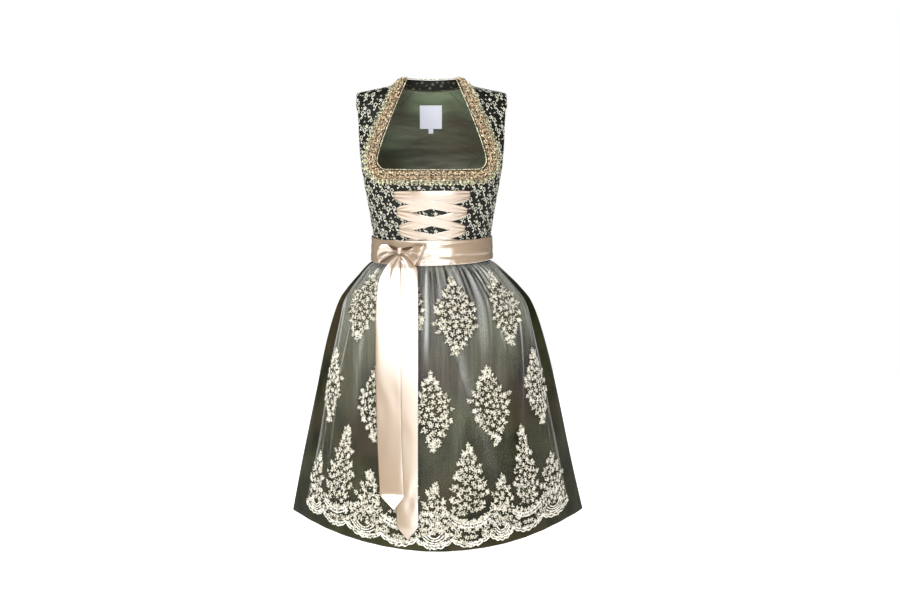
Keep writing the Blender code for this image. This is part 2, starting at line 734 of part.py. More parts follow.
def make_loop(loop, place, start, material):
    """One loop: its ribbon leaves the knot along the belt, turns at full reach and comes back in front."""
    count = 15
    path = []
    for t in spread(0, 1, count):
        row = []
        for s in (0.0, 0.5, 1.0):
            full = loop.foot_reach + (loop.top_reach - loop.foot_reach) * s
            u = start + (full - start) * sin(pi * t) ** 0.75
            v = (loop.foot + (loop.top - loop.foot) * s) * (0.25 + 0.75 * sin(pi * t) ** 0.8)
            w = LOOP_SEAT + loop.puff / 2 * (1 - 0.2 * (1 - 2 * t) - 0.8 * sin(2 * pi * t))
            row.append(Vector((u, v, w)))
        path.append(row)
    inner = []
    for i, row in enumerate(path):
        before, after = path[max(0, i - 1)], path[min(count - 1, i + 1)]
        inner.append([])
        for j, spot in enumerate(row):
            run = after[j] - before[j]
            inside = Vector((-run.z, 0.0, run.x)).normalized()
            inner[i].append(spot + inside * RIBBON)
    skins = [[[place(loop.side * p.x, p.y, p.z) for p in row] for row in grid] for grid in (path, inner)]
    solid(loop.name, skins[0], skins[1], material)


class Surface:
    """A cloth's outer face as its flat facets, so that what lies on it follows them exactly."""

    def __init__(self, form, heights, turns):
        self.heights, self.turns = list(heights), list(turns)
        self.base = [[form.surface(height, turn) for turn in turns] for height in heights]
        self.out = [[form.normal(height, turn) for turn in turns] for height in heights]

    def locate(self, values, value):
        rising = values[-1] > values[0]
        k = 0
        while k < len(values) - 2 and ((value > values[k + 1]) if rising else (value < values[k + 1])):
            k += 1
        return k, min(1.0, max(0.0, (value - values[k]) / (values[k + 1] - values[k])))

    def point(self, height, turn, lift):
        i, f = self.locate(self.heights, height)
        j, g = self.locate(self.turns, turn)

        def corner(a, b):
            return self.base[i + a][j + b] + self.out[i + a][j + b] * lift

        if f >= g:
            return corner(0, 0) * (1 - f) + corner(1, 0) * (f - g) + corner(1, 1) * g
        return corner(0, 0) * (1 - g) + corner(0, 1) * (g - f) + corner(1, 1) * f


def skirt_turns(front):
    step = 360 / (GATHERS * STEPS_PER_GATHER)
    half = GATHERS * STEPS_PER_GATHER // 4
    middle = 0.0 if front else 180.0
    return [middle + step * k for k in range(-half, half + 1)]


def make_skirt(finish):
    for name, front in (("skirt_front", True), ("skirt_back", False)):
        grid = inset(SKIRT, [[(height, turn) for turn in skirt_turns(front)] for height in SKIRT_ROWS], ends=False)
        panel(name, SKIRT, grid, 0.0, SKIRT_CLOTH, finish["taffeta"])


SKIRT_FACE = Surface(SKIRT, SKIRT_ROWS, skirt_turns(True))
apron_left = profile(APRON_EDGES, "left")
apron_right = profile(APRON_EDGES, "right")
APRON_LIFT = APRON_REST + APRON_CLOTH
LACE_LIFT = APRON_LIFT + 1.0


def apron_turn(height, across):
    """The turn at a share of the apron's width, 0 at its left edge and 1 at its right."""
    return apron_left(height) + (apron_right(height) - apron_left(height)) * across


def laid(name, heights, left, right, lift, thickness, material, splits=1):
    """Cloth laid on the skirt's front between two edges, with a row and a column on each of its facets' lines."""
    crossed = [height for height in SKIRT_ROWS if heights[0] > height > heights[-1]]
    heights = sorted(set(list(heights) + crossed), reverse=True)
    turns = SKIRT_FACE.turns
    fine = [turns[0]]
    for a, b in zip(turns, turns[1:]):
        fine += [a + (b - a) * k / splits for k in range(1, splits + 1)]
    low = min(left(height) for height in heights)
    high = max(right(height) for height in heights)
    columns = [low] + [turn for turn in fine if low < turn < high] + [high]
    grid = [[min(max(turn, left(height)), right(height)) for turn in columns] for height in heights]
    skins = [
        [[SKIRT_FACE.point(height, turn, depth) for turn in row] for height, row in zip(heights, grid)]
        for depth in (lift + thickness, lift)
    ]
    solid(name, skins[0], skins[1], material)


def make_apron(finish):
    heights = [height for height in SKIRT_ROWS if height > APRON_END] + [APRON_END]
    laid("apron", heights, apron_left, apron_right, APRON_REST, APRON_CLOTH, finish["tulle"])


def make_border(finish):
    """The scalloped lace border along the apron's foot. Its lower edge rises to the apron's sides."""
    steps = PICOTS * 2
    outer, inner = [[], []], [[], []]
    for lobe, (start, end) in enumerate(zip(LOBE_SIDES, LOBE_SIDES[1:])):
        for k in range(1 if lobe else 0, steps + 1):
            share = k / steps
            across = start + (end - start) * share
            valley = abs(2 * share - 1) ** 2.2
            picot = 1 - abs(sin(pi * PICOTS * share))
            side = (2 * across - 1) ** 2
            foot = LOBE_FOOT + FOOT_RISE * side + LOBE_RISE * valley + PICOT_RISE * picot
            top = BORDER_TOP - SWAG_DROP * sin(pi * share) * (lobe % 2)
            for row, height in enumerate((top, foot)):
                turn = apron_turn(height, across)
                outer[row].append(SKIRT_FACE.point(height, turn, LACE_LIFT + LACE))
                inner[row].append(SKIRT_FACE.point(height, turn, LACE_LIFT))
    solid("lace_border", outer, inner, finish["lace"])


def lay_motif(name, middle, top, foot, half_turn, shape, lobes, material):
    """A lace motif about one turn. Its leafy edge draws in between its lobes."""
    count = 2 * lobes
    heights = [top + (foot - top) * (0.5 - 0.5 * cos(pi * k / count)) for k in range(count + 1)]
    widths = []
    for k, height in enumerate(heights):
        width = half_turn * shape((top - height) / (top - foot)) * (1.0 if k % 2 else 1 - LEAF_DEPTH)
        widths.append(max(width, LEAST_TURN))

    def reach(height):
        k = max(k for k in range(count) if heights[k] >= height)
        t = (heights[k] - height) / (heights[k] - heights[k + 1])
        return widths[k] + (widths[k + 1] - widths[k]) * t

    def left(height):
        return max(apron_left(height), middle - reach(height))

    def right(height):
        return min(apron_right(height), middle + reach(height))

    laid(name, heights, left, right, LACE_LIFT, LACE, material)


def make_motifs(finish):
    def rounded(t):
        return sin(pi * t) ** 0.8

    def footed(t):
        return sin(pi * (0.08 + 0.62 * t)) ** 0.9

    for motif in MOTIFS:
        top, foot = motif.centre + motif.half_height, motif.centre - motif.half_height
        lay_motif(motif.name, motif.turn, top, foot, motif.half_turn, rounded, motif.lobes, finish["lace"])
    for spray in SPRAYS:
        foot = BORDER_TOP + 1.0
        lay_motif(spray.name, spray.turn, spray.tip, foot, spray.half_turn, footed, spray.lobes, finish["lace"])


TAILS = (
    Tail("bow_tail_left", LEFT_TAIL, -81.5, 8.8, 3.2),
    Tail("bow_tail_right", RIGHT_TAIL, -52.5, 7.3, 1.6),
)


def make_tails(finish):
    """The ribbon's two free ends, which hang from the knot over the apron to pointed tips."""
    for tail in TAILS:
        left, right = profile(tail.edges, "left"), profile(tail.edges, "right")
        top, foot = tail.edges[0].height, tail.edges[-1].height
        heights = [top, -385.0, -393.0, -402.0, -412.0, -425.0, -445.0, -470.0] + spread(-510.0, foot, 8)
        outer, inner = [], []
        for height in heights:
            start, end = left(height), right(height)
            middle = tail.tip if height == foot else (start + end) / 2
            outer.append([])
            inner.append([])
            for x in (start, middle, end):
                low = height - TAIL_TIP if x == middle and height == foot else height
                place = (low, SKIRT_PLAIN.turn_at(low, x))
                on_skirt = SKIRT_PLAIN.outline(*place).y + tail.lift / SKIRT_PLAIN.normal(*place).y
                on_belt = belt_point(max(low, BELT_BOTTOM), degrees(asin(x / BELT_HALF)), tail.belt_lift).y
                forward = min(on_skirt, on_belt)
                outer[-1].append(Vector((x, forward - RIBBON, low)))
                inner[-1].append(Vector((x, forward, low)))
        solid(tail.name, outer, inner, finish["satin"])


def main():
    for old in list(bpy.data.objects):
        bpy.data.objects.remove(old)
    finish = make_materials()
    make_bodice(finish)
    make_lining(finish)
    make_trim(finish)
    make_binding(finish)
    make_lacing(finish)
    make_belt(finish)
    make_bow(finish)
    make_skirt(finish)
    make_apron(finish)
    make_border(finish)
    make_motifs(finish)
    make_tails(finish)


main()
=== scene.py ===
"""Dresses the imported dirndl: brocade bodice with its trim and lacing, belt and bow, skirt, tulle apron and lace.

A place on the bodice or the skirt is a height in millimetres and a turn in degrees, 0 at the centre front,
90 at the side on +X and 180 at the centre back. Points are millimetres until a mesh is made of them.
"""

import json
from collections import namedtuple
from math import cos, pi, radians, sin

import bpy
import numpy as np
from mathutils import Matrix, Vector, kdtree

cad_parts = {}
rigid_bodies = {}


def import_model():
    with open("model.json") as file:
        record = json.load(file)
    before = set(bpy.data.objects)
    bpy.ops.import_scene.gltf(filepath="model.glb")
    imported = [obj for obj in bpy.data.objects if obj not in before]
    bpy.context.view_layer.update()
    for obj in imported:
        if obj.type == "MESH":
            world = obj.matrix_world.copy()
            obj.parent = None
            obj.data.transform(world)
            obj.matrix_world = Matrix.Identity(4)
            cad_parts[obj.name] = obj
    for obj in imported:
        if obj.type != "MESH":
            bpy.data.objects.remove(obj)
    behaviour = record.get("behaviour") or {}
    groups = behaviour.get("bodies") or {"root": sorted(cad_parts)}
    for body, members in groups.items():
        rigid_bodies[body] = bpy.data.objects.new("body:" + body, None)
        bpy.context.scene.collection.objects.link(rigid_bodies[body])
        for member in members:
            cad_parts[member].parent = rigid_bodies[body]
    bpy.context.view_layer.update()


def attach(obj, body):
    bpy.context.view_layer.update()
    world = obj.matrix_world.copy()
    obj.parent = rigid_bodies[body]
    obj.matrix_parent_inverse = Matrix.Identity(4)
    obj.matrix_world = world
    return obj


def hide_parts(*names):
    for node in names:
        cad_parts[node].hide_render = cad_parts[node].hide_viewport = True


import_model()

bl_info = {
    "name": "Dirndl dress",
    "version": (1, 0, 0),
    "blender": (4, 5, 0),
    "location": "View3D > Sidebar > Dirndl",
    "description": "Makes a sleeveless dirndl with a laced bodice, a ribbon bow and a lace apron",
    "category": "Add Mesh",
}

MM = 0.001

# Heights of the main lines of the cut.
SHOULDER_TIP = -29.0
NECKLINE_BOTTOM = -192.5
UNDERARM = -192.0
WAIST = -372.0
BELT_TOP = -345.0
BELT_BOTTOM = -399.0
HEM = -980.0
HEM_TURNED_UP = 20.0
APRON_TOP = -390.0

# Neckline: half widths at the neck points and at its foot, its corner and the control of its side curve.
NECK_HALF = 54.0
NECK_CORNER_X = 99.5
NECK_CORNER_RADIUS = 20.0
NECK_SIDE_CONTROL = (119.0, -146.0)
BACK_NECK_HEIGHT = 2.0
BACK_SEAM_TOP = -128.0  # where the back princess seams meet the armholes
# Steps of the neckline (see neckline) and the height of the armhole's edge across the strap from each.
ARMHOLE_STEPS = (
    (1, -190), (1.2, -184), (1.5, -175), (1.8, -160), (2.1, -140), (2.25, -118), (2.4, -95), (2.55, -75), (2.68, -60),
    (2.78, -50), (2.86, -42), (2.92, -35), (3, -29),
)
BRAID_WIDTH = 20.5
EDGING_REACH = 11.0
ARMHOLE_REACH = 40.0

# Height, half width, front depth and back depth of the two closed forms, and the point and lean of the skirt's.
BODICE_FORM = (
    (6, 50, 17, 45), (4.5, 58, 21, 46.5), (2.5, 66, 26, 49), (0, 73, 30, 51), (-5, 80, 34, 53), (-12, 92, 39, 56),
    (-20, 128, 45, 60), (-29, 165.5, 51, 64), (-60, 183, 70, 80), (-110, 176, 96, 96), (-150, 167, 112, 103),
    (-175, 160.5, 119, 105), (-192, 156.5, 122, 105), (-228, 150.5, 122, 101), (-281, 141, 115, 94),
    (-335, 132.8, 107, 90), (-372, 127, 103, 88),
)
SKIRT_FORM = (
    (-372, 127, 103, 88), (-388, 128, 104, 89), (-399, 131, 106.5, 91, 1, 0.2), (-404, 140, 111, 95, 1, 0.5),
    (-417, 154.5, 119, 104, 1.02, 1.5), (-430, 167, 127, 112, 1.05, 3), (-458, 193, 144, 129, 1.12, 5),
    (-485, 214, 157, 142, 1.2, 7), (-525, 231, 171, 155, 1.3, 8.5), (-595, 251.5, 190, 172, 1.42, 9),
    (-700, 275.5, 216, 194, 1.58, 9.5), (-834, 305, 250, 222, 1.78, 11), (-980, 337, 289, 252, 2, 13),
)

# Height and x of the princess seams, and height and turns of the apron's side edges.
FRONT_SEAM = ((-190.0, 91.0), (-224.0, 84.0), (-250.0, 79.5), (-281.0, 75.0), (-335.0, 68.5), (-372.0, 63.0))
BACK_SEAM = ((-128.0, 152.0), (-160.0, 126.0), (-200.0, 92.0), (-260.0, 66.0), (-372.0, 46.0))
APRON_EDGES = (
    (-372, -76.4, 76.4), (-458, -76, 76), (-487, -73.5, 74.5), (-546, -72.2, 72.5), (-704, -74.5, 74.5),
    (-821, -77.4, 77.6), (-960, -80.4, 80.2),
)

# Folds, given one by one: turns at the top and the foot, heights that it runs between, how far it stands
# out or in, and its half width in degrees at the top and the foot.
Fold = namedtuple("Fold", "turn foot_turn top foot depth width foot_width")


def folds(*rows):
    return [Fold(*row) for row in rows]


SKIRT_FOLDS = folds(
    (-2.4, -3.2, -394, -610, -5, 1.5, 2.6), (-6, -7, -394, -640, 3.6, 2, 3.4), (4, 7, -396, -720, 3.2, 3, 6),
    (12.6, 5.5, -394, -520, -2.6, 1.4, 2.2), (18, 15, -396, -600, 3.4, 3.2, 4.6),
    (26.5, 25.6, -394, -640, -4.6, 1.8, 3.2), (33, 31, -396, -760, 3.6, 3.2, 5.8),
    (41, 38, -394, -600, -4.2, 1.8, 3.4), (49, 46, -396, -690, 3.8, 3.4, 5.5), (57.5, 55, -394, -560, -3.6, 2, 3.2),
    (65, 66, -396, -900, 4.2, 3.6, 7), (74, 75.5, -394, -640, -4.4, 2.2, 4), (83, 84.5, -396, -860, 3.6, 3, 4.2),
    (-13, -12, -394, -560, -3.4, 1.7, 2.8), (-19, -18, -396, -700, 3.4, 3, 5.5),
    (-27.5, -29, -394, -620, -4.4, 1.9, 3.6), (-35, -36, -396, -820, 3.8, 3.4, 6.5),
    (-44, -43, -394, -570, -3.8, 1.9, 3), (-52, -52, -396, -720, 3.6, 3.2, 5.5),
    (-60.5, -62, -394, -680, -4.4, 2, 4.2), (-69, -70, -396, -880, 4, 3.2, 5.8),
    (-78, -80, -394, -620, -4.2, 2, 3.6), (-85.5, -86.5, -396, -930, 3.2, 2.6, 3.6),
    (96, 97.5, -394, -700, -4.2, 2, 4), (104, 105, -396, -960, 5.4, 3.4, 7.5), (112.5, 114, -394, -620, -4.6, 2, 4),
    (121, 124, -396, -1100, 6.2, 3.4, 8), (131, 134, -394, -1060, -5.6, 2.2, 6),
    (139.5, 143, -396, -740, 4.6, 3, 6), (148, 149, -394, -600, -4.4, 2, 3.4),
    (156, 158, -396, -1100, 5.8, 3.4, 8.5), (165, 167.5, -394, -900, -5.2, 2.1, 5),
    (173, 175, -396, -680, 4.4, 3, 5), (181, 181.5, -394, -640, -4.6, 1.9, 3.4),
    (188.5, 190, -396, -1100, 6, 3.4, 8.5), (197.5, 200.5, -394, -760, -4.8, 2, 4.8),
    (206, 209, -396, -820, 4.8, 3.2, 6.2), (214.5, 215, -394, -590, -4.2, 2, 3.2),
    (222, 221, -396, -1100, 5.8, 3.4, 8), (231, 230, -394, -980, -5.4, 2.2, 5.8),
    (239.5, 238.5, -396, -700, 4.4, 3, 5.2), (248, 246, -394, -640, -4.6, 2, 3.8),
    (256.5, 255, -396, -980, 5.2, 3.4, 7), (264.5, 263, -394, -660, -3.8, 2, 3.8),
)
APRON_FOLDS = folds(
    (-2.2, -3, -396, -600, -1.6, 0.9, 1.2), (-5.4, -6, -396, -620, 1.6, 1.2, 1.8),
    (27.5, 26, -396, -600, -1.8, 1, 1.4), (30.2, 29, -396, -590, 1.4, 1.3, 2), (42, 40, -396, -600, -1.6, 1, 1.6),
    (38.5, 37, -396, -560, 1.2, 1.1, 1.6), (9, 37, -560, -880, 1.8, 2.4, 3.6), (13.5, 42, -570, -880, -1.4, 1, 1.4),
    (61, 50, -470, -760, 1.3, 0.8, 0.9), (-59, -68, -480, -860, 1.3, 0.8, 0.9), (52, 49, -396, -520, -1.4, 1, 1.4),
    (-13, -11, -396, -540, -1.4, 1, 1.4), (-30, -33, -396, -700, 1.6, 1.4, 2.4),
    (-46, -50, -396, -760, -1.5, 1.2, 2), (66, 67, -396, -760, 1.4, 1.4, 2.2),
)
# Where the net lies double in a fold, so that it looks whiter. Depth is the share of a second layer. A negative depth
# thins the net, so that the dark skirt shows through as painted shade in the creases beside a fold.
NET_FOLDS = folds(
    (-5.2, -6, -396, -640, 0.42, 1.1, 1.4), (9.5, 37, -540, -900, 0.24, 2.8, 4.6),
    (6.2, 32.6, -540, -860, -0.12, 0.7, 1), (29.6, 28, -396, -640, 0.14, 2.4, 3),
    (37, 43, -396, -600, 0.45, 0.5, 0.7), (43, 32, -396, -500, 0.35, 0.4, 0.5),
    (61, 50, -430, -800, 0.45, 0.45, 0.5), (-59, -68, -430, -900, 0.45, 0.45, 0.5),
    (-46, -50, -396, -800, 0.2, 1.4, 2.4), (54, 50, -396, -560, 0.35, 1.6, 2), (-30, -34, -396, -860, 0.16, 2, 3.6),
    (21, 20, -396, -520, 0.2, 1.4, 2), (66, 66, -396, -620, 0.3, 1.2, 1.6), (0.4, 0.6, -392, -560, -0.4, 0.45, 0.6),
    (10.3, 9.4, -392, -480, -0.35, 0.45, 0.6), (23.4, 21.6, -392, -520, -0.4, 0.45, 0.6),
    (33, 41, -394, -530, -0.5, 0.5, 0.6), (-8.2, -9.4, -394, -560, -0.3, 0.45, 0.6),
    (5, 5, -392, -540, 0.12, 2.6, 3), (16.5, 15.5, -392, -560, 0.15, 3, 4), (46, 51, -392, -600, 0.28, 2.6, 3),
    (13, 12, -600, -840, 0.12, 2.6, 4), (46, 47, -560, -900, -0.08, 3, 6), (-22, -24, -560, -940, -0.08, 4, 6),
)

# Lace border: lobes across the apron between these shares of its width, each with a few picots.
LOBE_SIDES = (0.0, 0.078, 0.171, 0.299, 0.425, 0.546, 0.679, 0.765, 0.880, 1.0)
PICOTS = 5
LOBE_FOOT = -975.0
FOOT_RISE = 20.0
LOBE_RISE = 14.0
PICOT_RISE = 3.0
BORDER_TOP = -905.0
BORDER_WIDTH = 1010.0

# Lace: turn, centre height, half turn and half height of each motif, how far its tip leans in millimetres,
# and the side that its dark gap opens to; and turn, half turn, tip and lean of each spray.
Motif = namedtuple("Motif", "name turn centre half_turn half_height lean gap")
TOP_MOTIFS = (
    (-51.5, -485, 15, 76, -3, 1), (-14.5, -488, 8.6, 66, -3, 1), (12.5, -500, 15, 81, 4, -1),
    (49, -491, 14, 77, 8, 1),
)
MIDDLE_MOTIFS = (
    (-68.5, -667, 8.4, 80, 0, 1), (-35, -688, 13, 78, 3, -1), (-2.6, -696, 11.6, 82, -3, -1),
    (31.2, -690, 13.6, 82, -10, -1), (65.2, -668, 11.5, 82, -4, 1),
)
MOTIFS = [
    Motif(f"motif_{row}_{k}", *values)
    for row, motifs in (("top", TOP_MOTIFS), ("middle", MIDDLE_MOTIFS))
    for k, values in enumerate(motifs, start=1)
]
Spray = namedtuple("Spray", "name turn half_turn tip lean")
SPRAY_ROW = (
    (-74.2, 6, -819, 3), (-56.5, 10.4, -745, 14), (-38.7, 8.6, -828, 2), (-20, 10, -760, 0), (-2.3, 8.2, -843, 1),
    (17, 12.4, -764, 0), (36.3, 8, -836, 0), (51.2, 8.8, -743, -4), (70.3, 10, -820, 2),
)
SPRAYS = [Spray(f"spray_{k}", *values) for k, values in enumerate(SPRAY_ROW, start=1)]
# How far out each side of a motif and of a spray stands, as a share of its half width, from its tip down.
MOTIF_SIDES = (
    (0, 0.06), (0.08, 0.2), (0.2, 0.5), (0.3, 0.66), (0.38, 0.92), (0.46, 1), (0.52, 0.82), (0.58, 0.94),
    (0.68, 0.8), (0.78, 0.56), (0.87, 0.34), (0.94, 0.2), (1, 0.08),
)
SPRAY_SIDES = (
    (0, 0.08), (0.12, 0.3), (0.24, 0.42), (0.34, 0.62), (0.46, 0.66), (0.56, 0.9), (0.68, 1), (0.8, 0.92), (1, 0.7)
)

# Lacing: a ribbon crosses the front from seam to seam between these heights and half widths.
LACING_WIDTH = 19.0
LACING_ANCHORS = ((-246.0, 79.0), (-282.0, 74.5), (-320.5, 70.0), (-357.0, 66.0))

# The belt, and the bow that is tied on it.
BELT_HALF = 134.6
BELT_FRONT = 112.5
BELT_BACK = 94.5
BELT_FLARE = 1.6
# Height, drift up and down, width, depth, rounds and shift of the belt's lengthwise creases.
BELT_CREASES = (
    (-356, 5, 3.2, -1, 2, 0.3), (-366, 6, 4.5, 0.8, 3, 1.7), (-377, 5, 3.6, -0.9, 2, 2.6), (-388, 4, 4, 0.8, 4, 0.9),
    (-372, 9, 2.4, -0.6, 5, 3.3),
)
BOW_X = -66.0
BOW_HEIGHT = -366.0
TAIL_TIP = 25.0
LEFT_TAIL = (
    (-377, -76, -67), (-390, -91, -68), (-405, -103, -68), (-430, -114.5, -68), (-470, -119.5, -67.5),
    (-560, -121.5, -67), (-700, -119.5, -65.5), (-868, -111.5, -60),
)
RIGHT_TAIL = (
    (-377, -73, -64), (-385, -74.5, -48), (-395, -76, -36), (-410, -77, -31), (-470, -79, -30), (-929, -76, -30.5),
)
# A tail's edges, the x of its tip, how far it stands off the skirt and off the belt, how much its pointed end
# tilts forward, and its flat length.
Tail = namedtuple("Tail", "name edges tip lift belt_lift tilt length seed")
TAILS = (
    Tail("bow_tail_left", LEFT_TAIL, -81.5, 13.0, 7.8, 0.4, 0.58, 1),
    Tail("bow_tail_right", RIGHT_TAIL, -52.5, 10.7, 6.0, 0.08, 0.63, 2),
)


def linear(code):
    """An sRGB hex colour as linear red, green and blue."""
    made = []
    for k in (1, 3, 5):
        channel = int(code[k : k + 2], 16) / 255
        made.append(channel / 12.92 if channel <= 0.04045 else ((channel + 0.055) / 1.055) ** 2.4)
    return made


def dye(name, description, code):
    return bpy.props.FloatVectorProperty(
        name=name, description=description, default=linear(code), size=3, min=0.0, max=1.0, subtype="COLOR"
    )


def length(name, description, millimetres, least, most):
    return bpy.props.FloatProperty(
        name=name,
        description=description,
        default=millimetres * MM,
        min=least * MM,
        max=most * MM,
        subtype="DISTANCE",
        unit="LENGTH",
    )


class DressColours(bpy.types.PropertyGroup):
    skirt: dye("Skirt", "Olive of the taffeta skirt", "#2d2e1a")
    tulle: dye("Tulle", "Grey of the apron's net", "#9a9c89")
    lace: dye("Lace", "Cream of the lace's thread", "#fffcee")
    # the lace's painted shade, a sand colour laid at the foot of its raised rims
    lace_shadow: dye("Lace painted shade", "Sand painted as shade at the foot of the lace's raised rims", "#9a9070")
    ribbon: dye("Ribbon", "Champagne of the satin ribbons", "#bba286")
    lining: dye("Lining", "Sage of the satin lining", "#56604a")
    ground: dye("Brocade ground", "Dark olive of the brocade", "#0e100a")
    vine: dye("Brocade vines", "Silver of the brocade's vines", "#dfdcca")
    copper: dye("Braid", "Copper brown of the neckline's braid", "#2c1f15")
    gimp: dye("Braid gimp", "Rose gold of the cord laid on the braid", "#c5a581")
    cream: dye("Braid cord", "Cream of the braid's cord", "#f7e6bf")
    edging: dye("Edging", "Pale green gold of the edging's rosettes", "#dcd6b2")
    label: dye("Label", "White of the bare woven label", "#dfe2ee")


class DressSizes(bpy.types.PropertyGroup):
    bodice_cloth: length("Bodice cloth", "Thickness of the lined brocade", 1.4, 0.5, 2.0)
    skirt_cloth: length("Skirt cloth", "Thickness of the taffeta with its lining", 0.7, 0.3, 1.2)
    net: length("Net", "Thickness of the apron's tulle", 0.4, 0.1, 0.6)
    ribbon: length("Ribbon", "Thickness of the satin ribbon", 0.6, 0.3, 1.0)
    petal_rise: length("Petal rise", "How far the lace's petals stand up", 1.0, 0.4, 1.6)
    flower: length("Flower", "Width of the lace's flowers", 12.0, 9.0, 16.0)
    hem_stitch: length("Hem stitch", "Length of a stitch of the hem, with its gap", 5.0, 3.0, 9.0)
    bead: length("Bead", "Space between the beads of the neck binding", 3.2, 2.0, 6.0)


def colours():
    return bpy.context.scene.dress_colours


def millimetres(name):
    """One of the dress's sizes in millimetres."""
    return getattr(bpy.context.scene.dress_sizes, name) / MM


# ---- Forms ----


def smooth(table, column=1):
    """A smooth curve through one column of a table that runs downwards, with no overshoot."""
    heights = np.array([row[0] for row in table][::-1], float)
    values = np.array([row[column] for row in table][::-1], float)
    steps = np.diff(heights)
    rates = np.diff(values) / steps
    before, after = rates[:-1], rates[1:]
    same = before * after > 0
    inner = np.where(same, 2 * before * after / np.where(same, before + after, 1.0), 0.0)
    slopes = np.concatenate([rates[:1], inner, rates[-1:]])

    def read(height):
        height = np.clip(height, heights[0], heights[-1])
        k = np.clip(np.searchsorted(heights, height) - 1, 0, len(steps) - 1)
        t = (height - heights[k]) / steps[k]
        rise = (2 * t**3 - 3 * t**2 + 1) * values[k] + (3 * t**2 - 2 * t**3) * values[k + 1]
        bend = (t**3 - 2 * t**2 + t) * slopes[k] + (t**3 - t**2) * slopes[k + 1]
        return rise + bend * steps[k]

    return read


def unit(vectors):
    return vectors / np.maximum(np.linalg.norm(vectors, axis=-1, keepdims=True), 1e-9)


class Form:
    """A closed outline at every height: an ellipse at a point of 1, drawn to a point at its sides towards 2."""

    def __init__(self, sections, fold=None):
        whole = [(*row, 1.0, 0.0) if len(row) == 4 else row for row in sections]
        self.half, self.front, self.back, self.point_share, self.lean = (smooth(whole, k) for k in range(1, 6))
        self.fold = fold

    def across(self, height, turn):
        """The share of the half width that a turn reaches, and whether it lies at the front."""
        turn = (turn + 180.0) % 360.0 - 180.0
        front = np.abs(turn) <= 90.0
        middle = np.where(front, turn, np.where(turn > 0, 180.0, -180.0) - turn)
        even = self.point_share(height) - 1.0
        return (1.0 - even) * np.sin(np.radians(middle)) + even * middle / 90.0, front

    def outline(self, height, turn):
        height, turn = np.broadcast_arrays(np.asarray(height, float), np.asarray(turn, float))
        across, front = self.across(height, turn)
        depth = np.clip(1.0 - across**2, 0.0, None) ** (self.point_share(height) / 2)
        reach = np.where(front, -self.front(height), self.back(height))
        return np.stack([self.lean(height) + self.half(height) * across, reach * depth, height], -1)

    def surface(self, height, turn):
        place = self.outline(height, turn)
        if self.fold is None:
            return place
        along = self.outline(height, turn + 0.5) - self.outline(height, turn - 0.5)
        out = unit(np.stack([along[..., 1], -along[..., 0], np.zeros_like(along[..., 0])], -1))
        return place + out * np.asarray(self.fold(height, turn))[..., None]

    def normal(self, height, turn):
        along = self.surface(height, turn + 0.4) - self.surface(height, turn - 0.4)
        up = self.surface(height + 1.0, turn) - self.surface(height - 1.0, turn)
        return unit(np.cross(along, up))

    def point(self, height, turn, lift=0.0):
        lift = np.asarray(lift, float)
        return self.surface(height, turn) + self.normal(height, turn) * lift[..., None]

    def turn_at(self, height, x):
        """The turn at which the front of the form has this x, found by halving."""
        height, x = np.broadcast_arrays(np.asarray(height, float), np.asarray(x, float))
        reach = (x - self.lean(height)) / self.half(height)
        low, high = np.full(x.shape, -90.0), np.full(x.shape, 90.0)
        for _ in range(30):
            middle = (low + high) / 2
            short = self.across(height, middle)[0] < reach
            low, high = np.where(short, middle, low), np.where(short, high, middle)
        return low


def ease(t):
    t = np.clip(t, 0.0, 1.0)
    return t * t * (3 - 2 * t)


def folded(folds, height, turn, sharpness=1.5):
    """The sum of the listed folds at each place."""
    height, turn = np.broadcast_arrays(np.asarray(height, float), np.asarray(turn, float))
    total = np.zeros(height.shape)
    for fold in folds:
        share = (fold.top - height) / (fold.top - fold.foot)
        middle = fold.turn + (fold.foot_turn - fold.turn) * np.clip(share, 0, 1)
        width = fold.width + (fold.foot_width - fold.width) * np.clip(share, 0, 1)
        away = (turn - middle + 180.0) % 360.0 - 180.0
        strength = ease(share / 0.12) * ease((1.0 - share) / 0.45)
        total += fold.depth * strength * np.exp(-(np.abs(away / width) ** sharpness))
    return total


def skirt_drape(height, turn):
    """The skirt's folds, with a little unevenness of the cloth between them."""
    angle = np.radians(turn)
    shiver = 0.5 * np.sin(31 * angle + 0.013 * height) * ease((BELT_BOTTOM - height) / 40)
    sway = 1.1 * np.sin(5 * angle + 0.9) * np.sin(height / 61.0 + 2.0 * np.sin(2 * angle))
    return folded(SKIRT_FOLDS, height, turn) + shiver + sway * ease((-470 - height) / 200)


gather_strength = smooth(((-372, 0), (-399, 0.8), (-415, 2.1), (-450, 1.5), (-520, 0.5), (-600, 0), (HEM, 0)))


def apron_drape(height, turn):
    """The apron lies on the skirt's folds, with fine gathers at the waist and creases of its own."""
    angle = np.radians(turn)
    gathers = np.cos(74 * angle + 1.4 * np.sin(9 * angle)) + 0.5 * np.sin(117 * angle)
    lift = 2.0 + 1.0 * ease((-500 - height) / 200)
    return skirt_drape(height, turn) + lift + gather_strength(height) * gathers + folded(APRON_FOLDS, height, turn, 1.3)


def bodice_pull(height, turn):
    """Shallow pulls in the bodice where the lacing draws it together."""
    height, turn = np.broadcast_arrays(np.asarray(height, float), np.asarray(turn, float))
    pull = np.zeros(height.shape)
    for anchor_height, _ in LACING_ANCHORS:
        for side in (-1, 1):
            across = (turn - side * 38.0) / 9.0
            down = (height - anchor_height) / 7.0
            pull -= 0.5 * np.exp(-(across**2) - down**2) * (0.8 + 0.2 * side)
    return pull


BODICE = Form(BODICE_FORM, bodice_pull)
SKIRT = Form(SKIRT_FORM, skirt_drape)
SKIRT_PLAIN = Form(SKIRT_FORM)
APRON = Form(SKIRT_FORM, apron_drape)

seam_x = smooth(FRONT_SEAM)
back_seam_x = smooth(BACK_SEAM)
apron_left = smooth(APRON_EDGES, 1)
apron_right = smooth(APRON_EDGES, 2)


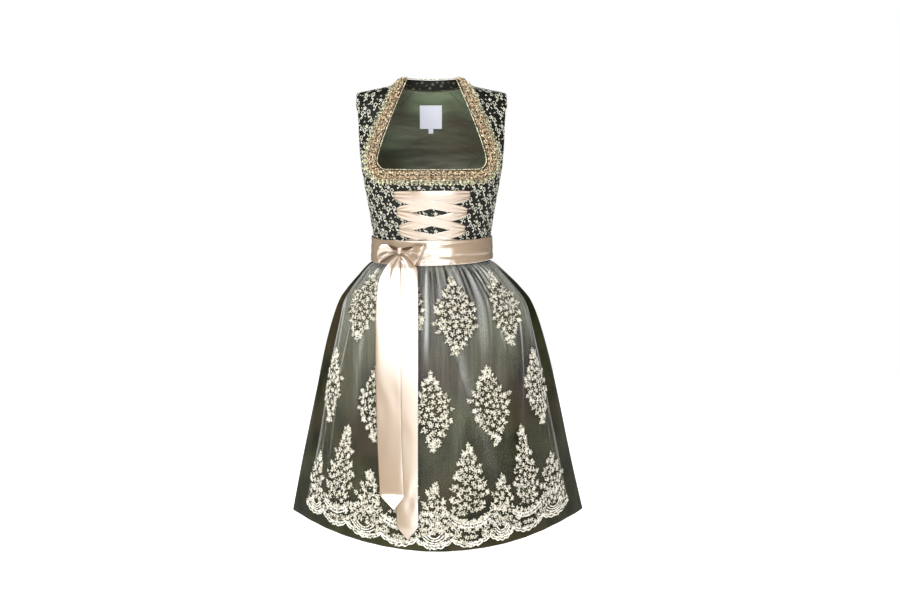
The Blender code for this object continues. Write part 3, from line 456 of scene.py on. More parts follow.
def bodice_turn(height, x):
    """The turn at the front of the bodice with this x."""
    return np.degrees(np.arcsin(np.clip(x / BODICE.half(height), -1.0, 1.0)))


def ridge_height(x):
    """The height at which the shoulder line is this far out, found by halving."""
    x = np.asarray(x, float)
    low, high = np.full(x.shape, SHOULDER_TIP), np.full(x.shape, 6.0)
    for _ in range(30):
        middle = (low + high) / 2
        wide = BODICE.half(middle) > x
        low, high = np.where(wide, middle, low), np.where(wide, high, middle)
    return low


def neckline(step, offset):
    """The front neckline from the centre (0) by its corner (1 to 2) to the shoulder (3), moved outwards."""
    step, offset = np.broadcast_arrays(np.asarray(step, float), np.asarray(offset, float))
    radius = NECK_CORNER_RADIUS + offset
    corner = NECKLINE_BOTTOM + NECK_CORNER_RADIUS
    angle = (np.clip(step, 1, 2) - 1) * pi / 2
    x = NECK_CORNER_X * np.clip(step, 0, 1) + radius * np.sin(angle)
    height = corner - radius * np.cos(angle)
    t = np.clip(step - 2, 0, 1)
    start = (NECK_CORNER_X + radius, corner)
    control = (NECK_SIDE_CONTROL[0] + offset, NECK_SIDE_CONTROL[1] + 0.3 * offset)
    end = (NECK_HALF + offset, ridge_height(NECK_HALF + offset))
    curve = [(1 - t) ** 2 * a + 2 * t * (1 - t) * b + t**2 * c for a, b, c in zip(start, control, end)]
    strap = step > 2
    return np.where(strap, curve[0], x), np.where(strap, curve[1], height)


def front_place(x, height):
    return height, bodice_turn(height, x)


def back_neck_place(t, drop=0.0):
    """The back neck edge, from the neck point at +X (0) to the centre back (1), moved down."""
    start = ridge_height(NECK_HALF + drop)
    return start + (BACK_NECK_HEIGHT - drop - start) * t, 90 + 90 * t


def across_back_neck(t, drop=0.0):
    """The back neck edge from the neck point at +X (0) across to the one at -X (1), moved down."""
    height, turn = back_neck_place(2 * t if t <= 0.5 else 2 - 2 * t, drop)
    return height, turn if t <= 0.5 else 360 - turn


def armhole_turn(height, front=True):
    """Where the armhole's oval cuts the form, at the front or at the back."""
    middle = (SHOULDER_TIP + UNDERARM) / 2
    half = (SHOULDER_TIP - UNDERARM) / 2
    reach = ARMHOLE_REACH * np.sqrt(np.clip(1 - ((height - middle) / half) ** 2, 0, None))
    depth = (BODICE.front if front else BODICE.back)(height)
    turn = np.degrees(np.arccos(np.clip(reach / depth, 0, 1)))
    return turn if front else 180 - turn


def back_seam_turn(height):
    seam = 180 - np.degrees(np.arcsin(np.clip(back_seam_x(height) / BODICE.half(height), 0, 1)))
    return np.where(height >= BACK_SEAM_TOP, armhole_turn(np.minimum(height, SHOULDER_TIP), front=False), seam)


def belt_point(height, turn, lift=0.0):
    angle = np.radians(turn)
    flare = BELT_FLARE * (BELT_TOP - height) / (BELT_TOP - BELT_BOTTOM)
    depth = np.where(np.cos(angle) > 0, BELT_FRONT, BELT_BACK)
    x = (BELT_HALF + flare + lift) * np.sin(angle)
    return np.stack(np.broadcast_arrays(x, -(depth + flare + lift) * np.cos(angle), height), -1)


# ---- Meshes ----


def linked(name, data):
    """An object in the scene with this mesh, lamp or camera."""
    made = bpy.data.objects.new(name, data)
    bpy.context.scene.collection.objects.link(made)
    return made


def finished(name, points, faces, cloths, uv=None, rim=None, crease=40.0):
    """A mesh object from points in millimetres. faces is a list of (faces, index of the cloth)."""
    mesh = bpy.data.meshes.new(name)
    every = [face for group, _ in faces for face in (group.tolist() if isinstance(group, np.ndarray) else group)]
    mesh.from_pydata((np.asarray(points).reshape(-1, 3) * MM).tolist(), [], every)
    for cloth in cloths:
        mesh.materials.append(cloth)
    if len(cloths) > 1:
        which = np.concatenate([np.full(len(group), index, dtype=np.int32) for group, index in faces])
        mesh.polygons.foreach_set("material_index", which)
    if uv is not None:
        layer = mesh.uv_layers.new(name="cloth")
        corners = np.zeros(len(mesh.loops), dtype=np.int32)
        mesh.loops.foreach_get("vertex_index", corners)
        layer.data.foreach_set("uv", (np.asarray(uv).reshape(-1, 2)[corners] * MM).astype(np.float32).ravel())
    if rim is not None:
        mesh.attributes.new("rim", "FLOAT", "POINT").data.foreach_set("value", np.asarray(rim, np.float32).ravel())
    mesh.shade_smooth()
    mesh.set_sharp_from_angle(angle=radians(crease))
    mesh.update()
    return linked(name, mesh)


def cloth_map(points):
    """Distances over the cloth in millimetres, along each row from its middle and down each column."""
    along = np.zeros(points.shape[:2])
    along[:, 1:] = np.cumsum(np.linalg.norm(np.diff(points, axis=1), axis=-1), axis=1)
    along -= along[:, points.shape[1] // 2][:, None]
    down = np.zeros(points.shape[:2])
    down[1:] = np.cumsum(np.linalg.norm(np.diff(points, axis=0), axis=-1), axis=0)
    return np.stack([along, down], -1)


def shell(name, outside, inside, cloth, turned=None, wrap=False, rim=None, crease=40.0):
    """A closed wall of cloth between two grids of points. turned is the finish of its inner side."""
    rows, columns = outside.shape[:2]
    count = rows * columns
    index = np.arange(count).reshape(rows, columns)
    here, after = (index, np.roll(index, -1, 1)) if wrap else (index[:, :-1], index[:, 1:])
    skin = np.stack([here[:-1], here[1:], after[1:], after[:-1]], -1).reshape(-1, 4)
    edges = [np.stack([here[0], after[0], after[0] + count, here[0] + count], -1)]
    edges.append(np.stack([after[-1], here[-1], here[-1] + count, after[-1] + count], -1))
    if not wrap:
        low, high = index[:-1, 0], index[1:, 0]
        edges.append(np.stack([high, low, low + count, high + count], -1))
        low, high = index[:-1, -1], index[1:, -1]
        edges.append(np.stack([low, high, high + count, low + count], -1))
    edges = np.concatenate(edges)
    flat = outside.reshape(-1, 3)
    across = np.cross(flat[skin[:, 1]] - flat[skin[:, 0]], flat[skin[:, 3]] - flat[skin[:, 0]])
    out = (outside - inside).reshape(-1, 3)[skin[:, 0]]
    back = skin[:, ::-1] + count
    if (across * out).sum() < 0:
        skin, back, edges = skin[:, ::-1], back[:, ::-1], edges[:, ::-1]
    faces = [(skin, 0), (edges, 0), (back, 1 if turned else 0)]
    uv = cloth_map(outside)
    rims = None if rim is None else np.concatenate([np.ravel(rim), np.ravel(rim)])
    points = np.concatenate([flat, inside.reshape(-1, 3)])
    return finished(name, points, faces, [cloth, turned] if turned else [cloth], np.stack([uv, uv]), rims, crease)


def walls(form, height, turn, lift, thickness):
    """The outer and the inner side of a cloth on a form."""
    return form.point(height, turn, lift), form.point(height, turn, lift - thickness)


def joined(*parts):
    """Lists of numbers one after another. Three in a tuple are a first, a last and how many, evenly spaced."""
    return np.concatenate([np.linspace(*part) if isinstance(part, tuple) else part for part in parts])


def disc(sides, radius):
    """The corners of a flat round outline."""
    return [(radius * cos(a), radius * sin(a)) for a in np.arange(sides) * 2 * pi / sides]


def dress(piece, slot, *nodes):
    """Hangs a finished piece on the dress, in the place of these nodes."""
    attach(piece, "root")
    if nodes:
        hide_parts(*nodes)
    return piece


# ---- Small parts that are repeated: points in millimetres, faces, and how near the rim each point is ----


def at_height(flat, height):
    return np.column_stack([flat, np.full(len(flat), height)])


def pad(outline, rise, dip=0.3, draw=0.8):
    """A closed cushion over a flat outline, with a raised rim and a lower middle."""
    outline = np.asarray(outline, float)
    count = len(outline)
    middle = outline.mean(0)
    ring = middle + (outline - middle) * draw
    points = np.concatenate([at_height(outline, 0.0), at_height(ring, rise), [[*middle, rise * (1 - dip)]]])
    faces = [list(range(count))[::-1]]
    for k in range(count):
        after = (k + 1) % count
        faces += [[k, after, count + after, count + k], [count + k, count + after, 2 * count]]
    return points, faces, np.concatenate([np.full(count, 0.45), np.ones(count), [0.0]])


def strip(path, widths, rise):
    """A closed raised line along a flat path."""
    path = np.asarray(path, float)
    run = unit(np.gradient(path, axis=0))
    side = np.column_stack([-run[:, 1], run[:, 0]]) * (np.asarray(widths, float)[:, None] / 2)
    count = len(path)
    points = np.concatenate([at_height(path + side, 0.0), at_height(path - side, 0.0), at_height(path, rise)])
    faces = [[0, 2 * count, count], [count - 1, 2 * count - 1, 3 * count - 1]]
    for k in range(count - 1):
        left, right, top = k, count + k, 2 * count + k
        faces += [[left, left + 1, top + 1, top], [top, top + 1, right + 1, right], [right, right + 1, left + 1, left]]
    return points, [face[::-1] for face in faces], np.concatenate([np.full(2 * count, 0.45), np.ones(count)])


def together(*parts):
    points, faces, rims, count = [], [], [], 0
    for part_points, part_faces, part_rim in parts:
        points.append(part_points)
        faces += [[k + count for k in face] for face in part_faces]
        rims.append(part_rim)
        count += len(part_points)
    return np.concatenate(points), faces, np.concatenate(rims)


def turned_by(part, degrees_round, x=0.0, y=0.0, size=1.0):
    points, faces, rim = part
    c, s = cos(radians(degrees_round)), sin(radians(degrees_round))
    flat = points[:, :2] @ np.array([[c, s], [-s, c]]) * size + (x, y)
    return np.column_stack([flat, points[:, 2]]), faces, rim


def blossom(petals, reach, half, rise):
    """A little flower with separate rounded petals round a knot."""
    outline = [(0.12 * reach, -0.2 * half), (0.5 * reach, -half), (0.84 * reach, -0.86 * half), (reach, 0.0)]
    outline += [(x, -y) for x, y in outline[2::-1]]
    petal = pad(outline, rise, 0.45, 0.76)
    knot = pad(disc(5, 0.22 * reach), 1.25 * rise, -0.2, 0.6)
    return together(*(turned_by(petal, 360 * k / petals) for k in range(petals)), knot)


def leaf(reach, half, rise):
    """A pointed leaf that lies along +X."""
    outline = [(0.0, -0.15 * half), (0.3 * reach, -half), (0.68 * reach, -0.72 * half), (reach, 0.0)]
    outline += [(x, -y) for x, y in outline[2::-1]]
    return pad(outline, rise, 0.5, 0.74)


def sprig(reach, half, rise):
    """Three leaves on one stalk."""
    return together(
        turned_by(leaf(reach, half, rise), 0, 0.2 * reach),
        turned_by(leaf(0.72 * reach, half, rise), 58),
        turned_by(leaf(0.72 * reach, half, rise), -58),
    )


def frond(reach, half, rise):
    """Five leaves along one stalk."""
    return together(
        turned_by(leaf(0.5 * reach, half, rise), 0, 0.55 * reach),
        *(turned_by(leaf(0.46 * reach, half, rise), side * 52, x * reach) for side in (-1, 1) for x in (0.08, 0.42)),
    )


def scroll(side, rise, weight=1.0):
    """An S of two curls, 24 mm tall. weight is how thick its line is."""
    path = []
    for k in range(15):
        t = k / 14
        angle = pi * (1.55 - 2.35 * t)
        reach = 2.0 + 4.6 * t**0.8
        path.append((side * (reach * cos(angle) - 1.0), 5.0 + reach * sin(angle)))
    path += [(side * 2.2, -3.5), (side * 0.2, -7.0)]
    for k in range(8):
        angle = pi * (0.35 - 1.4 * k / 7)
        reach = 3.4 - 1.9 * k / 7
        path.append((-side * (reach * cos(angle) + 1.2), -9.5 - reach * sin(angle) * 0.9))
    widths = np.interp(np.arange(len(path)), [0, 5, 15, len(path) - 1], [2.6, 2.0, 2.3, 1.3])
    return strip(path, widths * weight, rise)


def curl(rise):
    """A small C of cord, 7 mm across."""
    return strip([(3.2 * cos(a), 3.2 * sin(a)) for a in np.linspace(-2.3, 2.3, 9)], [1.3] * 9, rise)


# ---- Geometry Nodes ----


def add(tree, kind, inputs=None, **settings):
    """Adds a node with its settings. inputs gives its sockets, by name or number, a value or another's output."""
    node = tree.nodes.new(kind)
    for key, value in settings.items():
        setattr(node, key, value)
    for key, value in (inputs or {}).items():
        if isinstance(value, bpy.types.NodeSocket):
            tree.links.new(value, node.inputs[key])
        else:
            node.inputs[key].default_value = value
    return node


def times(tree, first, second, **settings):
    """The product of two numbers."""
    return add(tree, "ShaderNodeMath", {0: first, 1: second}, operation="MULTIPLY", **settings).outputs[0]


def start_tree(name, sockets):
    """A Geometry Nodes tree that takes points or lines and these named inputs."""
    tree = bpy.data.node_groups.new(name, "GeometryNodeTree")
    tree.interface.new_socket("Geometry", in_out="INPUT", socket_type="NodeSocketGeometry")
    tree.interface.new_socket("Geometry", in_out="OUTPUT", socket_type="NodeSocketGeometry")
    for socket, kind in sockets:
        tree.interface.new_socket(socket, in_out="INPUT", socket_type=kind)
    tree.interface.new_socket("Thread", in_out="INPUT", socket_type="NodeSocketMaterial")
    return tree, add(tree, "NodeGroupInput")


def end_tree(tree, given, geometry):
    whole = add(tree, "GeometryNodeRealizeInstances", {"Geometry": geometry})
    made = add(tree, "GeometryNodeSetMaterial", {"Geometry": whole.outputs[0], "Material": given.outputs["Thread"]})
    add(tree, "NodeGroupOutput", {0: made.outputs[0]})
    return tree


def scatter_tree():
    """Puts one of a few small parts on each point, turned and sized as the point says."""
    tree, given = start_tree("Scatter", [("Parts", "NodeSocketCollection"), ("Part size", "NodeSocketFloat")])
    parts = add(
        tree,
        "GeometryNodeCollectionInfo",
        {"Collection": given.outputs["Parts"], "Separate Children": True, "Reset Children": True},
    )
    kind, spin, grown = (
        add(tree, "GeometryNodeInputNamedAttribute", {"Name": name}, data_type=data).outputs["Attribute"]
        for name, data in (("kind", "INT"), ("spin", "FLOAT"), ("grown", "FLOAT"))
    )
    turn = add(tree, "ShaderNodeCombineXYZ", {"Z": spin})
    placed = add(
        tree,
        "GeometryNodeInstanceOnPoints",
        {
            "Points": given.outputs["Geometry"],
            "Instance": parts.outputs["Instances"],
            "Pick Instance": True,
            "Instance Index": kind,
            "Rotation": turn.outputs["Vector"],
            "Scale": times(tree, grown, given.outputs["Part size"]),
        },
    )
    return end_tree(tree, given, placed.outputs["Instances"])


def cord_tree():
    """Sweeps a round cord along each line."""
    tree, given = start_tree("Cord", [("Radius", "NodeSocketFloat"), ("Sides", "NodeSocketInt")])
    line = add(tree, "GeometryNodeMeshToCurve", {"Mesh": given.outputs["Geometry"]})
    sizes = {"Resolution": given.outputs["Sides"], "Radius": given.outputs["Radius"]}
    ring = add(tree, "GeometryNodeCurvePrimitiveCircle", sizes)
    swept = add(
        tree,
        "GeometryNodeCurveToMesh",
        {"Curve": line.outputs["Curve"], "Profile Curve": ring.outputs["Curve"], "Fill Caps": True},
    )
    smoothed = add(tree, "GeometryNodeSetShadeSmooth", {"Geometry": swept.outputs["Mesh"]})
    return end_tree(tree, given, smoothed.outputs[0])


def stitch_tree():
    """Sets a stitch every so far along each line, each with a small gap after it."""
    names = ("Stitch length", "Thread radius", "Filled share")
    tree, given = start_tree("Stitches", [(name, "NodeSocketFloat") for name in names])
    line = add(tree, "GeometryNodeMeshToCurve", {"Mesh": given.outputs["Geometry"]})
    points = add(
        tree,
        "GeometryNodeCurveToPoints",
        {"Curve": line.outputs["Curve"], "Length": given.outputs["Stitch length"]},
        mode="LENGTH",
    )
    filled = times(tree, given.outputs["Stitch length"], given.outputs["Filled share"])
    thread = add(tree, "GeometryNodeMeshUVSphere", {"Segments": 6, "Rings": 4, "Radius": 1.0})
    radius = given.outputs["Thread radius"]
    size = add(tree, "ShaderNodeCombineXYZ", {"X": radius, "Y": radius, "Z": times(tree, filled, 0.5)})
    placed = add(
        tree,
        "GeometryNodeInstanceOnPoints",
        {
            "Points": points.outputs["Points"],
            "Instance": thread.outputs["Mesh"],
            "Rotation": points.outputs["Rotation"],
            "Scale": size.outputs["Vector"],
        },
    )
    smoothed = add(tree, "GeometryNodeSetShadeSmooth", {"Geometry": placed.outputs["Instances"]})
    return end_tree(tree, given, smoothed.outputs[0])


TREES = {"Scatter": scatter_tree, "Cord": cord_tree, "Stitches": stitch_tree}


def grown(name, title, mesh, values):
    """Runs a Geometry Nodes tree on a mesh and returns its result as a plain mesh."""
    tree = bpy.data.node_groups.get(title) or TREES[title]()
    source = linked(f"{name}_source", mesh)
    modifier = source.modifiers.new("Grow", "NODES")
    modifier.node_group = tree
    for item in tree.interface.items_tree:
        if item.item_type == "SOCKET" and item.in_out == "INPUT" and item.name in values:
            modifier[item.identifier] = values[item.name]
    evaluated = source.evaluated_get(bpy.context.evaluated_depsgraph_get())
    made = bpy.data.meshes.new_from_object(evaluated)
    bpy.data.objects.remove(source)
    bpy.data.meshes.remove(mesh)
    made.name = name
    return made


def lines(name, title, paths, thread, values):
    """A piece that follows lines of points in millimetres. True closes a line."""
    points, edges = [], []
    for path, closed in paths:
        first, count = len(points), len(path)
        points += (np.asarray(path) * MM).tolist()
        edges += [(first + k, first + k + 1) for k in range(count - 1)]
        if closed:
            edges.append((first + count - 1, first))
    mesh = bpy.data.meshes.new(f"{name}_lines")
    mesh.from_pydata(points, edges, [])
    made = grown(name, title, mesh, {**values, "Thread": thread})
    made.attributes.new("rim", "FLOAT", "POINT").data.foreach_set("value", np.ones(len(made.vertices), np.float32))
    return linked(name, made)


def cords(name, paths, thread, radius=0.0006, sides=6):
    return lines(name, "Cord", paths, thread, {"Radius": radius, "Sides": sides})


def stitches(name, paths, thread, stitch, radius, filled=0.7):
    sizes = {"Stitch length": stitch, "Thread radius": radius, "Filled share": filled}
    return lines(name, "Stitches", paths, thread, sizes)


def parts_collection(name, parts):
    """A collection of small parts, which Collection Info sorts by name."""
    found = bpy.data.collections.get(name)
    if found:
        return found
    made = bpy.data.collections.new(name)
    for k, (points, faces, rim) in enumerate(parts):
        part = finished(f"{name}_{k}", points, [(faces, 0)], [], rim=rim, crease=50.0)
        bpy.context.scene.collection.objects.unlink(part)
        made.objects.link(part)
    return made


Home = namedtuple("Home", "down across kind spin size")


def scattered(name, homes, parts, thread, place, size=1.0):
    """Small parts on their homes. place turns homes and offsets from them in millimetres into points."""
    mesh = bpy.data.meshes.new(f"{name}_homes")
    mesh.from_pydata([(0.0, 0.0, 0.0)] * len(homes), [], [])
    keys = ("home_down", "home_across", "kind", "spin", "grown")
    for key, values in zip(keys, zip(*homes)):
        data = "INT" if key == "kind" else "FLOAT"
        mesh.attributes.new(key, data, "POINT").data.foreach_set("value", values)
    made = grown(name, "Scatter", mesh, {"Parts": parts, "Part size": size, "Thread": thread})
    count = len(made.vertices)
    down, across = np.zeros(count, np.float32), np.zeros(count, np.float32)
    made.attributes["home_down"].data.foreach_get("value", down)
    made.attributes["home_across"].data.foreach_get("value", across)
    offset = np.zeros(count * 3, np.float32)
    made.vertices.foreach_get("co", offset)
    offset = offset.reshape(-1, 3).astype(float) / MM
    points = place(down.astype(float), across.astype(float), offset)
    made.vertices.foreach_set("co", (points * MM).astype(np.float32).ravel())
    for key in keys:
        if key in made.attributes:
            made.attributes.remove(made.attributes[key])
    made.update()
    return linked(name, made)


def on_form(form, lift, bound=None):
    """Lays offsets in millimetres round a home on a form. bound keeps places inside a panel."""

    def place(height, turn, offset):
        along = form.surface(height, turn + 0.5) - form.surface(height, turn - 0.5)
        upward = (form.surface(height + 1.0, turn) - form.surface(height - 1.0, turn)) / 2.0
        stretch = np.linalg.norm(along, axis=-1)
        first = along / stretch[:, None]
        second = unit(upward - first * (upward * first).sum(-1)[:, None])
        rise = offset[:, 1] / (upward * second).sum(-1)
        swing = (offset[:, 0] - (upward * first).sum(-1) * rise) / stretch
        height, turn = height + rise, turn + swing
        if bound:
            height, turn = bound(height, turn)
        return form.point(height, turn, lift + offset[:, 2])

    return place


def inside(outline, points):
    """Which points lie inside a closed outline."""
    x, y = points[:, 0][:, None], points[:, 1][:, None]
    ax, ay = outline[:, 0], outline[:, 1]
    bx, by = np.roll(ax, -1), np.roll(ay, -1)
    crosses = (ay > y) != (by > y)
    at = (bx - ax) * (y - ay) / np.where(by == ay, 1e-9, by - ay) + ax
    return ((crosses & (x < at)).sum(1) % 2).astype(bool)


def to_edge(outline, points):
    """The nearest place on a closed outline to each point, and how far off it is."""
    start = outline
    run = np.roll(outline, -1, 0) - outline
    share = ((points[:, None] - start) * run).sum(-1) / np.maximum((run**2).sum(-1), 1e-9)
    places = start + np.clip(share, 0, 1)[..., None] * run
    away = np.linalg.norm(points[:, None] - places, axis=-1)
    nearest = away.argmin(1)
    rows = np.arange(len(points))
    return places[rows, nearest], away[rows, nearest]


# ---- Cloths ----


class Cloth:
    """A Principled material, built up from its ground colour by laying others over it."""

    def __init__(self, name, dyed, roughness, ground=None, **sockets):
        self.material = bpy.data.materials.new(name)
        self.material.use_nodes = True
        self.tree = self.material.node_tree
        self.shader = self.tree.nodes["Principled BSDF"]
        self.where = self.add("ShaderNodeTexCoord")
        self.ground = dyed if ground is None else ground
        for key, value in {"Base_Color": [*dyed, 1.0], "Roughness": roughness, **sockets}.items():
            self.shader.inputs[key.replace("_", " ")].default_value = value

    def add(self, kind, inputs=None, **settings):
        return add(self.tree, kind, inputs, **settings)

    def put(self, socket, value):
        self.tree.links.new(value, self.shader.inputs[socket])

    def attribute(self, name):
        return self.add("ShaderNodeAttribute", attribute_name=name).outputs["Fac"]

    def noise(self, scale, detail=2.0, space="Object"):
        """Noise in the object's metres, or over the cloth's own map. Three scales stretch it."""
        place = self.where.outputs[space]
        if isinstance(scale, tuple):
            place, scale = self.add("ShaderNodeMapping", {"Vector": place, "Scale": scale}).outputs[0], 1.0
        return self.add("ShaderNodeTexNoise", {"Vector": place, "Scale": scale, "Detail": detail}).outputs["Fac"]

    def cells(self, scale, feature):
        place = {"Vector": self.where.outputs["UV"], "Scale": scale}
        return self.add("ShaderNodeTexVoronoi", place, feature=feature).outputs["Distance"]

    def between(self, value, low, high, first=0.0, last=1.0):
        """A value taken from one range to another, and kept within it."""
        return self.add("ShaderNodeMapRange", {0: value, 1: low, 2: high, 3: first, 4: last}).outputs[0]

    def lay(self, colour, value, low, high, most=1.0):
        """Lays a colour over what is there, more and more as the value goes from low to high."""
        node = self.add("ShaderNodeMix", {0: self.between(value, low, high, 0.0, most)}, data_type="RGBA")
        if isinstance(self.ground, bpy.types.NodeSocket):
            self.tree.links.new(self.ground, node.inputs[6])
        else:
            node.inputs[6].default_value = [*self.ground, 1.0]
        node.inputs[7].default_value = [*colour, 1.0]
        self.ground = node.outputs[2]
        self.put("Base Color", self.ground)

    def bump(self, height, strength, distance):
        sizes = {"Strength": strength, "Distance": distance, "Height": height}
        self.put("Normal", self.add("ShaderNodeBump", sizes).outputs["Normal"])

    def weave(self, thread, strength, distance=0.00015):
        """A plain weave as a bump, with threads every so many metres along and across the cloth's own map."""
        sizes = {"Vector": self.where.outputs["UV"], "Scale": 0.314 / thread, "Distortion": 0.4, "Detail": 0.0}
        warp, weft = (self.add("ShaderNodeTexWave", sizes, bands_direction=axis).outputs["Fac"] for axis in "XY")
        self.bump(times(self.tree, warp, weft), strength, distance)


def shaded(colour, by):
    return tuple(min(1.0, channel * by) for channel in colour)


def taffeta():
    """Crisp poly taffeta, plain woven, with fine slubs. Its soft shine is painted: clouds of a lighter and a darker
    copy of its olive, over a hand's width.
    """
    dyed = colours().skirt
    # painted sheen and shade: the ground is a darker copy of the olive, and the next layer lays a lighter copy over it
    # in clouds
    made = Cloth("polyester_taffeta_olive", dyed, 0.5, shaded(dyed, 0.4), Specular_IOR_Level=0.12)
    made.lay(shaded(dyed, 1.4), made.noise(14.0, 3.0), 0.35, 0.66)
    made.lay(linear("#3c3122"), made.noise(7.0), 0.5, 0.62, 0.7)
    made.lay(linear("#4d4c30"), made.noise((900.0, 22.0, 1.0), 2.0, "UV"), 0.45, 0.75, 0.35)
    made.weave(0.0009, 0.25)
    return made.material


def tulle():
    """Nylon bobbinet with hexagons of about 1 mm, mostly holes: the cloth below shows through, and where the
    net lies double in a fold it turns whiter. The attribute net says how much of it a ray meets. Where it is thinned
    beside a fold, the dark skirt below shows through as painted shade; behind the lace it is cut away, which also
    paints shade between the lace's flowers."""
    dyed = colours().tulle
    made = Cloth("nylon_tulle_grey", dyed, 0.6, linear("#6e666a"), Specular_IOR_Level=0.3)
    density = made.attribute("net")
    holes = made.between(made.cells(620.0, "DISTANCE_TO_EDGE"), 0.0, 0.16, 1.5, 0.75)
    uneven = made.between(made.noise((160.0, 6.0, 1.0), 3.0, "UV"), 0.3, 0.7, 0.62, 1.38)
    made.put("Alpha", times(made.tree, times(made.tree, density, holes), uneven, use_clamp=True))
    made.lay(dyed, made.noise(6.0, 1.0), 0.4, 0.6)
    made.lay(linear("#c6c9c4"), density, 0.2, 0.6)
    return made.material


def lace_thread():
    """Matte cotton cord over an embroidered ground: pale on its raised rims, with a sandy painted shade at their foot,
    and dark in the middle of a petal, where its open net shows what is below. Small dark specks are painted shade too."""
    pale, deep = colours().lace, colours().lace_shadow
    made = Cloth("cotton_lace_cream", pale, 0.82, linear("#2f3126"), Sheen_Weight=0.15)
    rim = made.attribute("rim")
    # painted shade: the sand colour lies at the foot of the raised rims
    made.lay(deep, rim, 0.12, 0.42)
    made.lay(pale, rim, 0.4, 0.85)
    # painted shade: small dark specks of the sand colour
    made.lay(shaded(deep, 0.6), made.noise(210.0, 1.0), 0.52, 0.62, 0.8)
    made.bump(made.noise(900.0), 0.5, 0.0004)
    return made.material


def satin():
    """Polyester satin ribbon, warp faced: long floats give a broad gloss along its length, with fine
    lengthwise lines and a few soft marks of wear. Its high gloss turns it nearly white where it faces a lamp, and
    the attribute rim marks the darker woven selvedges and a dark brown painted shade in the depth of its folds."""
    dyed = colours().ribbon
    made = Cloth("polyester_satin_champagne", dyed, 0.27, Metallic=0.1, IOR=3.2)
    cloud = made.noise(14.0, 1.0)
    made.lay(shaded(dyed, 0.85), cloud, 0.2, 0.8)
    made.lay(shaded(dyed, 0.8), made.noise((1400.0, 30.0, 1.0), 2.0, "UV"), 0.5, 0.8, 0.2)
    # the dark brown on rim is the selvedges' own colour, and painted shade in the folds of the bow's loops
    made.lay(linear("#5d4330"), made.attribute("rim"), 0.2, 1.0, 0.8)
    made.put("Roughness", made.between(cloud, 0.2, 0.8, 0.18, 0.24))
    return made.material


def satin_back_painted_shade():
    """The ribbon's reverse: the satin's dull side, seen in the shade inside the bow. Its dark brown is painted shade.
    """
    return Cloth("polyester_satin_reverse", linear("#674b3a"), 0.7, Specular_IOR_Level=0.2).material


def lining_satin():
    """Acetate lining satin: a smooth low gloss, creased softly where it is sewn down. A lighter copy of its sage on the
    crests of the creases and a darker one between them are painted sheen and shade.
    """
    dyed = colours().lining
    made = Cloth("acetate_lining_sage", dyed, 0.38, shaded(dyed, 0.5), Sheen_Weight=0.2, Anisotropic=0.3)
    wrinkle_sheen = made.noise((9.0, 9.0, 34.0))
    # painted sheen: the lighter sage follows the same noise as the creases' bump, over a darker copy as painted shade
    made.lay(shaded(dyed, 1.6), wrinkle_sheen, 0.35, 0.7)
    made.lay(shaded(dyed, 1.45), made.noise((60.0, 1600.0, 1.0), 1.0, "UV"), 0.45, 0.8, 0.3)
    made.lay(linear("#403824"), made.noise(8.0, 1.0), 0.42, 0.58, 0.75)
    made.bump(wrinkle_sheen, 0.5, 0.005)
    return made.material


def brocade_ground():
    """The satin ground of a jacquard brocade: dark, closely woven, with a faint figure of its own and small painted
    glints.
    """
    dyed = colours().ground
    made = Cloth("viscose_brocade_ground", dyed, 0.55, shaded(dyed, 1.5), Specular_IOR_Level=0.3)
    made.lay(shaded(dyed, 0.75), made.cells(230.0, "SMOOTH_F1"), 0.15, 0.5)
    # painted glints: small specks four times as light as the ground
    made.lay(shaded(dyed, 4.0), made.noise(420.0), 0.58, 0.66, 0.5)
    made.weave(0.0011, 0.35)
    return made.material


def brocade_vine():
    """The brocade's figure in silvery rayon: smooth threads with a soft gloss, painted darker at their edges and
    middles as shade, below their lighter raised tops.
    """
    dyed = colours().vine
    made = Cloth("rayon_brocade_vine", dyed, 0.42, shaded(dyed, 0.14), Specular_IOR_Level=0.5)
    # painted shade: the ground is a much darker copy of the silver, and rim lays the silver over it only on the raised
    # tops
    made.lay(dyed, made.attribute("rim"), 0.25, 0.6)
    made.lay(linear("#85887a"), made.noise(34.0), 0.5, 0.75, 0.45)
    made.bump(made.noise(1100.0, 1.0), 0.4, 0.0003)
    return made.material


def braid_thread(name, dyed, metallic, roughness):
    """Gimp and cord of the neckline's braid: a core wrapped with metallised thread. Its uneven glints are painted as
    dark and light specks of its colour, and each small part is painted darker towards its foot as shade.
    """
    made = Cloth(name, dyed, roughness, shaded(dyed, 0.2), Metallic=metallic)
    painted_glints = made.noise(240.0, 1.0)
    # painted shade: a darker copy of the colour, covered by the true colour only where rim is high
    made.lay(dyed, made.attribute("rim"), 0.2, 0.7)
    # painted glints: dark and light specks of the colour
    made.lay(shaded(dyed, 0.25), painted_glints, 0.46, 0.6, 0.9)
    made.lay(shaded(dyed, 1.5), painted_glints, 0.46, 0.34, 0.9)
    made.bump(made.noise(700.0), 0.6, 0.0004)
    return made.material


def label_weave():
    """A woven polyester label, bare: flat, very finely ribbed, slightly blue."""
    made = Cloth("woven_label_white", colours().label, 0.55)
    made.weave(0.0006, 0.3, 0.0001)
    return made.material


def sewing_thread(name, code):
    """Spun sewing thread: dull, with its twist as a fine bump."""
    made = Cloth(name, linear(code), 0.6)
    made.bump(made.noise(1500.0), 0.4, 0.0002)
    return made.material


